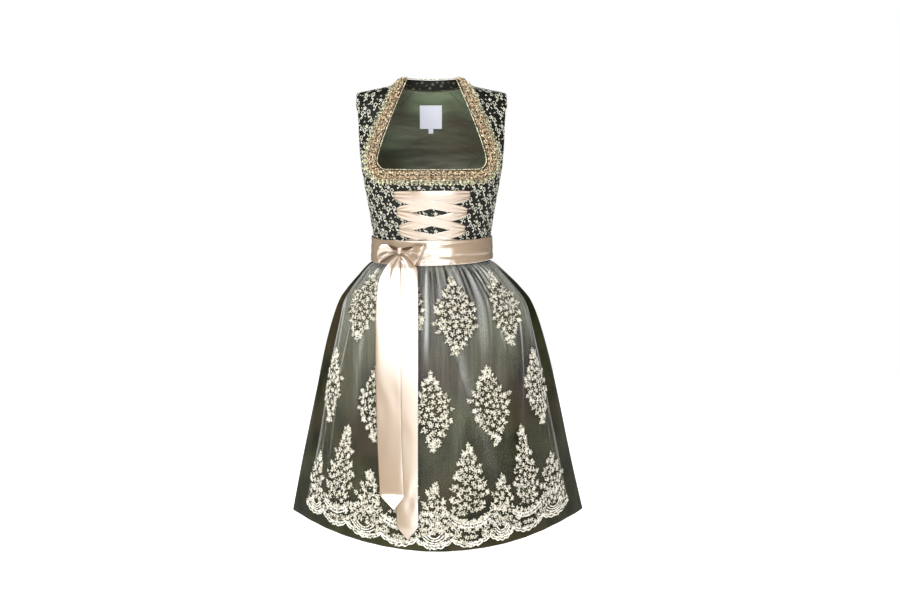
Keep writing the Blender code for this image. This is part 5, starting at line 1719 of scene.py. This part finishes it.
class MakeBow(bpy.types.Operator):
    """Makes the bow: its knot, its two loops and its two free ends"""

    bl_idname = "dress.make_bow"
    bl_label = "Bow"

    def execute(self, context):
        self.knot()
        for loop in LOOPS:
            self.loop(loop)
        for tail in TAILS:
            self.tail(tail)
        return {"FINISHED"}

    def knot(self):
        """The knot: a ribbon drawn tight round the middle, with lengthwise pleats."""
        wide, tall, deep = 13.0, 15.0, 14.0
        angle = np.arange(40) * 2 * pi / 40
        v = np.linspace(-1, 1, 22)[:, None]
        swell = 1 - 0.34 * np.abs(v) ** 2.4
        pleat = 1 + 0.055 * np.cos(7 * angle + 1.2 * v + 0.5) + 0.03 * np.cos(13 * angle - 2.0 * v)
        u = wide / 2 * swell * pleat * np.cos(angle)
        w = 0.4 + deep / 2 + deep / 2 * swell * pleat * np.sin(angle)
        slant = 0.36 * np.sin(angle + 0.6) * (1 - v**2)
        outside = from_bow(u, v * tall / 2 + slant, np.maximum(w, 0.3))
        middle = from_bow(0.0, 0.0, 0.4 + deep / 2)
        inward = middle + (outside - middle) * 0.86
        piece = ribbon("knot", outside, inward, "bow_knot", wrap=True)

    def loop(self, loop):
        """A ribbon that leaves the knot along the belt, turns, and comes back in front. The front layer's upper
        edge dips beside the knot, so that the loop is open there and its dull side shows, in a dark brown painted as
        shade. rim paints shade in the dent of the front layer and between the pleats beside the knot."""
        t = np.linspace(0, 1, 88)[:, None]
        s = joined([0.0, 0.025, 0.06], (0.1, 0.9, 19), [0.94, 0.975, 1.0])[None]
        wave = np.sin(pi * t)
        front = ease(2 * t - 0.5)
        full = (loop.foot_reach + (loop.top_reach - loop.foot_reach) * s) * (1 + 0.08 * np.sin(pi * s))
        u = 4.0 + (full - 4.0) * wave**0.7
        top = loop.top * ((0.3 + 0.7 * wave**0.5) * (1 - front) + (0.08 + 0.92 * ease((wave - 0.1) / 0.4)) * front)
        foot = loop.foot * (0.13 + 0.87 * wave**0.9)
        v = foot + (top - foot) * s
        forward = ease((t - 0.3) / 0.32) * (1 - 0.5 * ease((t - 0.66) / 0.34))
        w = 1.8 + loop.puff * forward * (1 - 0.3 * (2 * s - 1) ** 2) * (0.62 + 0.5 * s)
        near = np.exp(-((wave / 0.5) ** 1.8))
        pleats = 1.8 * np.cos(pi * (5.0 * s + 0.7 * front + 0.2 * loop.seed)) * near
        fold_at = 0.42 - 0.2 * (1 - t) + 0.05 * loop.side
        dent = front * np.exp(-(((s - fold_at) / 0.09) ** 2)) * wave**0.6
        ridge = 1.6 * front * np.exp(-(((s - 0.75) / 0.14) ** 2)) * wave
        w = np.maximum(w + pleats - 3.4 * dent + ridge, 1.0)
        path = from_bow(loop.side * u, v, w)
        run = np.gradient(path, axis=0)
        inner = unit(np.cross(run, bow_frame()[2])) * loop.side
        # painted shade, carried by rim: in the dent of the front layer and in the pleats' valleys near the knot
        shade = np.maximum(0.9 * dent, 0.8 * near * front * (np.cos(pi * (5.0 * s + 0.7 + 0.2 * loop.seed)) < -0.3))
        rim = np.maximum(shade, np.abs(2 * s - 1) > 0.94)
        inward = path + inner * millimetres("ribbon")
        piece = ribbon(loop.name, path, inward, loop.name, rim, finish("satin back painted shade"))

    def tail(self, tail):
        """A free end: pleated under the knot, then flat over the apron to a pointed tip."""
        left, right = smooth(tail.edges, 1), smooth(tail.edges, 2)
        top, foot = tail.edges[0][0], tail.edges[-1][0]
        heights = joined((top, -410.0, 26), (-413.0, -500.0, 34), (-506.0, foot, 76))
        s = joined([0.0, 0.015, 0.04], (0.1, 0.9, 17), [0.96, 0.985, 1.0])[None]
        start, end = left(heights)[:, None], right(heights)[:, None]
        x = start + (end - start) * s
        share_tip = (tail.tip - left(foot)) / (right(foot) - left(foot))
        peak = np.where(s < share_tip, s / share_tip, (1 - s) / (1 - share_tip))
        low = heights[:, None] - TAIL_TIP * peak * ease((-heights[:, None] + foot + 130) / 130)
        share = np.clip((top - low) / 90.0, 0, 1)
        turn = SKIRT_PLAIN.turn_at(low, x)
        # It is stiffer than the skirt, so it lies flatter than the skirt's curve.
        nearest = SKIRT_PLAIN.outline(low, SKIRT_PLAIN.turn_at(low, np.full_like(low, -30.0)))[..., 1]
        curve = SKIRT_PLAIN.outline(low, turn)[..., 1]
        on_skirt = curve + 0.4 * (nearest - curve) + tail.lift / SKIRT_PLAIN.normal(low, turn)[..., 1]
        belt_turn = np.degrees(np.arcsin(x / BELT_HALF))
        on_belt = belt_point(np.maximum(low, BELT_BOTTOM), belt_turn, tail.belt_lift)[..., 1]
        forward = taut(np.minimum(on_skirt, on_belt), heights, int(np.searchsorted(-heights, 495.0)))
        forward = forward - tail.tilt * np.clip(foot - low, 0, None)
        pleats = 1.3 * np.cos(pi * (2.3 * s + 0.35 * tail.seed)) * (1 - ease(share * 1.25)) ** 1.2
        valley = 1.35 * np.exp(-(((s - 0.30 - 0.25 * share) / 0.10) ** 2))
        valley = valley * ease(share * 6) * (1 - ease((share - 0.45) / 0.5))
        creases = crease_lines((end - start) * (s - 0.5), low - top, tail.seed + 40, 0.44)
        cup = 0.2 * (2 * s - 1) ** 2 * ease(share)
        roll = 0.35 * np.abs(2 * s - 1) ** 14
        forward = forward - pleats + valley + creases + cup + roll
        outside = np.stack([x, forward - millimetres("ribbon"), low], -1)
        inward = np.stack([x, forward, low], -1)
        seamed = tail.name == "bow_tail_left"
        selvedge = np.maximum(np.abs(2 * s - 1) > 0.95, 0.8 * np.exp(-(((low - foot) / 1.4) ** 2)) * seamed)
        piece = ribbon(tail.name, outside, inward, tail.name, selvedge)
        self.end_hem(tail.name, x, forward, low, seamed)

    def end_hem(self, name, x, forward, low, seamed):
        """The seam that closes the left tail's pointed end, and the two selvedges' fine stitches."""
        paths = []
        if seamed:
            row = low[-3]
            paths.append((np.stack([x[-3], forward[-3] - 0.75, np.full(len(row), row.max() - 1.0)], -1), False))
        for column in (2, -3):
            edge = [grid[30:-1, column] for grid in (x, forward - 0.65, low)]
            paths.append((np.stack(edge, -1), False))
        dress(stitches(f"ribbon_{name}_stitches", paths, finish("pale thread"), 0.0034, 0.00012), "satin")


# ---- Skirt, apron and lace ----


class MakeSkirt(bpy.types.Operator):
    """Makes the gathered taffeta skirt, front and back, and the stitches of its hem"""

    bl_idname = "dress.make_skirt"
    bl_label = "Skirt"

    def execute(self, context):
        thick = millimetres("skirt_cloth")
        rows = joined((-372.4, -398.0, 5), (-400.0, -520.0, 30), (-526.0, -968.0, 34), [-974.0, -978.0, -979.6, HEM])
        for name, middle in (("skirt_front", 0.0), ("skirt_back", 180.0)):
            turns = middle + joined([-89.94, -89.6], (-89.0, 89.0, 236), [89.6, 89.94])
            down, round_ = np.broadcast_arrays(rows[:, None], turns[None])
            roll = -0.5 * np.exp((HEM - down) / 1.6)
            seam = -0.8 * np.exp(-((90.0 - np.abs(round_ - middle)) / 0.35))
            sides = walls(SKIRT, down, round_, roll + seam, thick)
            piece = dress(shell(f"taffeta_{name}", *sides, finish("taffeta"), crease=70), "taffeta", name)
            path = SKIRT.point(HEM + HEM_TURNED_UP, np.linspace(-89, 89, 400) + middle, 0.05)
            stitch = millimetres("hem_stitch") * MM
            sewn = stitches(f"hem_stitches_{name}", [(path, False)], finish("dark thread"), stitch, 0.00035, 0.72)
            dress(sewn, "taffeta")
        return {"FINISHED"}


def apron_turn(height, across):
    return apron_left(height) + (apron_right(height) - apron_left(height)) * across


def lobe_of(across):
    """Which lobe a share of the apron's width falls in, and how far along it."""
    k = np.clip(np.searchsorted(LOBE_SIDES, across, side="right") - 1, 0, len(LOBE_SIDES) - 2)
    sides = np.array(LOBE_SIDES)
    return k, (across - sides[k]) / (sides[k + 1] - sides[k])


def border_foot(across, picots=True, up=0.0):
    """The height of the scalloped edge, or of a line this far above it."""
    _, share = lobe_of(across)
    valley = np.abs(2 * share - 1) ** 2.2
    picot = (1 - np.abs(np.sin(pi * PICOTS * share))) if picots else 0.5
    side = (2 * across - 1) ** 2
    return LOBE_FOOT + FOOT_RISE * side + LOBE_RISE * valley * (1 - up / 60.0) + PICOT_RISE * picot + up


class MakeApron(bpy.types.Operator):
    """Makes the apron of gathered tulle, whiter where its folds double it"""

    bl_idname = "dress.make_apron"
    bl_label = "Apron"

    def execute(self, context):
        across = joined([0.0, 0.002, 0.006, 0.014], (0.022, 0.978, 270), [0.986, 0.994, 0.998, 1.0])
        share = joined((0, 0.2, 30), (0.21, 1, 46))[:, None]
        foot = border_foot(across)[None] + 1.0
        down = APRON_TOP + (foot - APRON_TOP) * share
        turn = apron_turn(down, across[None])
        outside, inward = walls(APRON, down, turn, 0.5 * ease(share * 8), millimetres("net"))
        piece = shell("net_apron", outside, inward, finish("tulle"), crease=70)
        # folds with a negative depth thin the net, so that the dark skirt shows as painted shade beside them
        doubled_and_painted_shade = folded(NET_FOLDS, down, turn, 2.2)
        edge = np.minimum(turn - apron_left(down), apron_right(down) - turn)
        doubled_and_painted_shade += 0.5 * np.exp(-((edge / 2.1) ** 4)) + 0.32 * np.exp(-(((edge - 4.6) / 0.7) ** 2))
        gathers = 0.17 * ease((down + 600) / 160)
        gathers += 0.05 * gather_strength(down) * np.cos(74 * np.radians(turn) + 1.4 * np.sin(9 * np.radians(turn)))
        net = np.clip(0.37 - 0.28 * ease((-520 - down) / 260) + doubled_and_painted_shade + gathers, 0.0, 0.95)
        nearest = kdtree.KDTree(len(LACE_SPOTS))
        for k, spot in enumerate(LACE_SPOTS):
            nearest.insert(spot, k)
        nearest.balance()
        away = np.array([nearest.find(point)[2] for point in outside.reshape(-1, 3)]).reshape(down.shape)
        net *= 1 - 0.9 * np.exp(-((away / 6.0) ** 4))  # the net is cut away behind the lace, so that the dark skirt shows in the gaps between its flowers as painted shade
        layer = 1 - np.sqrt(1 - net)  # two faces of the cloth stand in the way of each ray
        values = np.concatenate([layer.ravel(), layer.ravel()]).astype(np.float32)
        piece.data.attributes.new("net", "FLOAT", "POINT").data.foreach_set("value", values)
        dress(piece, "tulle", "apron")
        laces = [o for o in bpy.data.objects if o.name.startswith(("lace_motif", "lace_spray", "lace_border"))]
        return {"FINISHED"}


LACE_SPOTS = []  # where lace lies, filled in as it is made
FLOWER = 12.0  # millimetres across the lace's flower as it is drawn here


def lace_parts(rise):
    return (
        blossom(5, 6.4, 1.75, rise),
        sprig(8.4, 1.7, rise),
        leaf(8.8, 1.9, rise),
        leaf(5.8, 1.4, rise),
        frond(14.5, 1.7, rise),
        pad(disc(6, 1.5), rise, -0.15, 0.6),
    )


def darts(rng, region, low, high, spacing, taken, tries):
    """Random places in a region, each at least a spacing from the others. taken holds places with their reach."""
    columns = {}
    for spot, reach in taken:
        columns.setdefault(int(spot[0] // 12), []).append((spot, reach))
    made = []
    for spot in low + (high - low) * rng.random((tries, 2)):
        if not region(spot):
            continue
        key = int(spot[0] // 12)
        near = columns.get(key - 1, []) + columns.get(key, []) + columns.get(key + 1, [])
        if all(np.hypot(*(spot - other)) > spacing / 2 + reach for other, reach in near):
            taken.append((spot, spacing / 2))
            columns.setdefault(key, []).append((spot, spacing / 2))
            made.append(spot)
    return made


def blooming(rng, region, low, high, middle, density=1.0):
    """Homes that fill a region: flowers first, then sprigs and leaves that point outwards, then knots."""
    taken, homes = [], []
    area = float(np.prod(high - low)) * density
    for kind, spacing, *sizes in ((0, 10.8, 0.86, 1.06), (1, 8.0, 0.85, 1.1), (3, 5.4, 0.85, 1.1), (5, 4.0, 0.7, 0.95)):
        for spot in darts(rng, region, low, high, spacing, taken, int(3.4 * area / spacing**2)):
            away = spot - middle
            spin = float(np.arctan2(away[1], away[0])) + rng.normal(0, 0.7)
            homes.append((spot, kind, spin, rng.uniform(*sizes)))
    return homes


class MakeLace(bpy.types.Operator):
    """Makes the lace: the motifs and sprays sewn on the apron, and its scalloped border"""

    bl_idname = "dress.make_lace"
    bl_label = "Lace"

    def execute(self, context):
        parts = parts_collection("lace_parts", lace_parts(millimetres("petal_rise")))
        self.size = millimetres("flower") / FLOWER
        for k, motif in enumerate(MOTIFS):
            self.cluster(motif, motif.centre, motif.half_height, MOTIF_SIDES, motif.gap, 100 + k, parts)
        foot = BORDER_TOP - 2
        for k, spray in enumerate(SPRAYS):
            self.cluster(spray, (spray.tip + foot) / 2, (spray.tip - foot) / 2, SPRAY_SIDES, (-1) ** k, 200 + k, parts)
        self.border(parts)
        return {"FINISHED"}

    def cluster(self, spec, centre, tall, sides, gap_side, seed, parts):
        """A motif or a spray: its outline filled with flowers and leaves, with fronds that point out of it."""
        rng = np.random.default_rng(seed)
        step = APRON.surface(centre, spec.turn + 0.5) - APRON.surface(centre, spec.turn - 0.5)
        degree = float(np.linalg.norm(step))
        half = spec.half_turn * degree
        shares, widths = np.array(sides).T
        standing = sides is SPRAY_SIDES
        notch, pitch = (0.42, 24.0) if standing else (0.3, 19.0)

        def reach(y, side):
            share = np.clip((tall - y) / (2 * tall), 0, 1)
            branch = 0.5 + 0.5 * np.sin(2 * pi * (y / pitch + 0.37 * seed + 0.3 * side))
            return half * np.interp(share, shares, widths) * (1 - notch * branch)

        def region(spot):
            x = spot[0] - spec.lean * spot[1] / tall
            if not (-tall + (0 if standing else 9)) < spot[1] < tall - 9:
                return False
            if abs(x) > reach(spot[1], 1 if x > 0 else -1) - 3.2:
                return False
            line = (-0.2 * tall if standing else 1.0) + 5.0 * np.sin(spot[0] / 10.0 + seed)
            return not (abs(spot[1] - line) < 3.6 and x * gap_side > -0.15 * half)

        low, high = np.array([-half, -tall]), np.array([half, tall])
        homes = blooming(rng, region, low, high, np.array([0.0, -tall if standing else 0.0]), 1.2)
        for y in np.arange(-tall + 7, tall - 6, 8.4):
            for side in (-1, 1):
                out = reach(y, side)
                spot = np.array([spec.lean * y / tall + side * max(out - 7.0, 0.0), y + rng.uniform(-1.5, 1.5)])
                lift = 0.75 if standing or y > 0 else -0.55
                angle = (0 if side > 0 else pi) + side * (lift + rng.normal(0, 0.3))
                homes.append((spot, int(rng.choice([1, 2, 4], p=[0.25, 0.3, 0.45])), angle, rng.uniform(0.8, 1.0)))
        for side in (1,) if standing else (1, -1):
            x, up = spec.lean * side, side * pi / 2
            homes.append((np.array([x, side * (tall - 11)]), 4, up, 1.0))
            homes.append((np.array([x - 2.5, side * (tall - 17)]), 0, 0.3, 0.85))
            homes.append((np.array([x + 3.5, side * (tall - 20)]), 4, up - 0.6, 0.8))
        made = [Home(centre + y, spec.turn + x / degree, kind, spin, size) for (x, y), kind, spin, size in homes]
        made = [home for home in made if apron_left(home.down) - 0.2 < home.across < apron_right(home.down) + 0.2]

        LACE_SPOTS.extend(APRON.surface(home.down, home.across) for home in made)

        def bound(down, around):
            return down, np.clip(around, apron_left(down) - 0.6, apron_right(down) + 0.6)

        laid = on_form(APRON, 0.9, bound)
        dress(scattered(f"lace_{spec.name}", made, parts, finish("lace"), laid, self.size), "lace", spec.name)

    def border(self, parts):
        """Nine lobes with a scalloped foot: shells with arcs of cord, and between them swags over open curls."""
        rng = np.random.default_rng(300)
        edge, arcs = [], []

        def along(across, height, lift=1.5):
            across, height = np.broadcast_arrays(np.asarray(across, float), np.asarray(height, float))
            return APRON.point(height, apron_turn(height, across), lift)

        samples = np.linspace(0.001, 0.999, 700)
        edge.append((along(samples, border_foot(samples) + 1.2), False))
        arcs.append((along(samples, border_foot(samples, picots=False, up=6.6)), False))
        for lobe, (start, end) in enumerate(zip(LOBE_SIDES, LOBE_SIDES[1:])):
            middle, half = (start + end) / 2, (end - start) / 2
            t = np.linspace(-0.96, 0.96, 34)
            if lobe % 2 == 0:
                for up, narrow in ((14.0, 0.7), (18.6, 0.58), (23.2, 0.44)):
                    height = border_foot(middle + half * t, picots=False, up=up) - 3.0 * (1 - t**2)
                    arcs.append((along(middle + half * t * narrow, height), False))
            else:
                for drop in (0.0, 7.0):
                    height = BORDER_TOP - 8 - drop - 15.0 * (1 - t**2)
                    edge.append((along(middle + half * t * 1.04, height), False))

        def region(spot):
            across = spot[0] / BORDER_WIDTH
            if not 0.004 < across < 0.996:
                return False
            lobe, share = lobe_of(across)
            foot = border_foot(across, picots=False)
            sag = sin(pi * share)
            if lobe % 2 == 0:
                arcs = 11.0 + 21.0 * (1 - abs(2 * share - 1) ** 1.5)
                top = BORDER_TOP + 6.0 * sag
                if foot + 9.0 < spot[1] < foot + arcs and 0.16 < share < 0.84:
                    return False
                edge_gap = abs(2 * share - 1) > 0.86 and foot + 16 < spot[1] < foot + 27
                return foot + 2.0 < spot[1] < top and not edge_gap
            top = BORDER_TOP - 4.0 - 15.0 * sag
            opening = foot + 11.0 < spot[1] < min(foot + 30.0, top - 10.0) and 0.22 < share < 0.78
            return foot + 2.0 < spot[1] < top + 3.0 and not opening

        low, high = np.array([0.0, -985.0]), np.array([BORDER_WIDTH, BORDER_TOP + 6])
        below = np.array([BORDER_WIDTH / 2, -2000.0])  # leaves point away from here
        homes = [
            Home(y, x / BORDER_WIDTH, kind, spin + rng.uniform(-2, 2), size)
            for (x, y), kind, spin, size in blooming(rng, region, low, high, below, 0.9)
        ]
        # Leaves that stand up on the swags, as a fringe.
        for lobe in range(1, len(LOBE_SIDES) - 1, 2):
            start, end = LOBE_SIDES[lobe : lobe + 2]
            for t in np.linspace(0.12, 0.88, 6):
                height = BORDER_TOP - 6 - 15.0 * (1 - (2 * t - 1) ** 2)
                homes.append(Home(height, start + (end - start) * t, 1, pi / 2 + rng.normal(0, 0.4), 0.95))
            middle = (start + end) / 2
            centre = float(border_foot(middle, picots=False, up=19.0))
            homes.append(Home(centre, middle, 0, 0.3, 0.9))
            for side in (-1, 1):
                homes.append(Home(centre - 2, middle + side * 7.0 / BORDER_WIDTH, 4, pi / 2 - side * 1.25, 0.85))
        LACE_SPOTS.extend(APRON.surface(home.down, apron_turn(home.down, home.across)) for home in homes)
        place_on = on_form(APRON, 0.9)

        def place(height, across, offset):
            across = np.clip(across, 0.003, 0.997)
            return place_on(height, apron_turn(height, across), offset)

        flowers = scattered("lace_border_flowers", homes, parts, finish("lace"), place, self.size)
        dress(flowers, "lace", "lace_border")
        for name, paths in (("edge", edge), ("arcs", arcs)):
            dress(cords(f"lace_border_{name}", paths, finish("lace"), 0.0014), "lace")


# ---- Stage ----


def aimed(stand, place, aim):
    """Stands a lamp or the camera at a place and turns it to look at another."""
    stand.location = place
    stand.rotation_euler = (Vector(aim) - Vector(place)).to_track_quat("-Z", "Y").to_euler()
    return stand


class MakeStage(bpy.types.Operator):
    """Makes the pale floor, the studio lights and the camera"""

    bl_idname = "dress.make_stage"
    bl_label = "Stage"

    def execute(self, context):
        self.floor()
        self.light("top", (-0.65, -2.75, 1.22), (0.0, -0.2, -0.5), 3.1, 2.3, 107.0)
        self.light("strip", (0.35, -2.5, -0.68), (0.05, 0.0, -0.4), 2.2, 0.55, 15.0)
        self.light("left", (-2.2, -1.6, 0.9), (0.0, -0.1, -0.45), 1.0, 1.0, 9.0)
        self.light("front", (0.0, -4.6, 0.1), (0.0, 0.0, -0.4), 3.0, 3.0, 17.0)
        self.light("back", (0.8, 2.6, 1.0), (0.0, 0.1, -0.5), 1.8, 1.8, 44.0)
        self.world()
        camera = bpy.data.cameras.new("camera")
        camera.lens = 50.0
        camera.sensor_width = 36.0
        context.scene.camera = aimed(linked("camera", camera), (0.0, -2.8, -0.077), (0.0405, 0.0, -0.490))
        context.scene.view_settings.view_transform = "Standard"
        return {"FINISHED"}

    def floor(self):
        """Seamless white studio paper, lit until it is as pale as the walls round it."""
        mesh = bpy.data.meshes.new("floor")
        reach, down = 3.2, -1.32
        corners = [(x * reach, y * reach, down) for x, y in ((-1, -1), (1, -1), (1, 1), (-1, 1))]
        mesh.from_pydata(corners, [], [(0, 1, 2, 3)])
        glow = {"Emission_Color": (1.0, 1.0, 1.0, 1.0), "Emission_Strength": 0.8}
        paper = Cloth("studio_paper_white", (0.9, 0.9, 0.9), 0.9, (0.88, 0.88, 0.88), **glow)
        paper.lay((0.92, 0.92, 0.92), paper.noise(3.0), 0.3, 0.7)
        mesh.materials.append(paper.material)
        linked("floor", mesh)

    def light(self, name, place, aim, wide, tall, power):
        lamp = bpy.data.lights.new(name, "AREA")
        lamp.shape = "RECTANGLE"
        lamp.size = wide
        lamp.size_y = tall
        lamp.energy = power
        aimed(linked(name, lamp), place, aim)

    def world(self):
        world = bpy.data.worlds.new("studio")
        world.use_nodes = True
        tree = world.node_tree
        tree.nodes.clear()
        path = add(tree, "ShaderNodeLightPath")
        strength = add(tree, "ShaderNodeMapRange", {0: path.outputs["Is Camera Ray"], 3: 0.12, 4: 1.0})
        sky = add(tree, "ShaderNodeBackground", {"Color": (1.0, 1.0, 1.0, 1.0), "Strength": strength.outputs[0]})
        add(tree, "ShaderNodeOutputWorld", {"Surface": sky.outputs[0]})
        bpy.context.scene.world = world


class DressPanel(bpy.types.Panel):
    """Lists the dress's sizes, colours and pieces"""

    bl_idname = "DRESS_PT_panel"
    bl_label = "Dirndl dress"
    bl_space_type = "VIEW_3D"
    bl_region_type = "UI"
    bl_category = "Dirndl"

    def draw(self, context):
        for title, group in (("Colours", context.scene.dress_colours), ("Sizes", context.scene.dress_sizes)):
            box = self.layout.box()
            box.label(text=title)
            for name in group.__annotations__:
                box.prop(group, name)
        for operator in PIECES:
            self.layout.operator(operator.bl_idname)


# In the order they are made: the apron's net is cut away behind the lace, where the dark skirt then shows as painted
# shade between the lace's flowers, so the lace comes first.
PIECES = (
    MakeBodice, MakeLining, MakeNeckTrim, MakeLacing, MakeBelt, MakeSkirt, MakeLace, MakeApron, MakeBow, MakeStage
)
CLASSES = (DressColours, DressSizes, *PIECES, DressPanel)


def register():
    for made in CLASSES:
        bpy.utils.register_class(made)
    bpy.types.Scene.dress_colours = bpy.props.PointerProperty(type=DressColours)
    bpy.types.Scene.dress_sizes = bpy.props.PointerProperty(type=DressSizes)


def unregister():
    del bpy.types.Scene.dress_sizes
    del bpy.types.Scene.dress_colours
    for made in reversed(CLASSES):
        bpy.utils.unregister_class(made)


def main():
    register()
    for piece in PIECES:
        getattr(bpy.ops.dress, piece.bl_idname.removeprefix("dress."))()


if __name__ == "__main__":
    main()
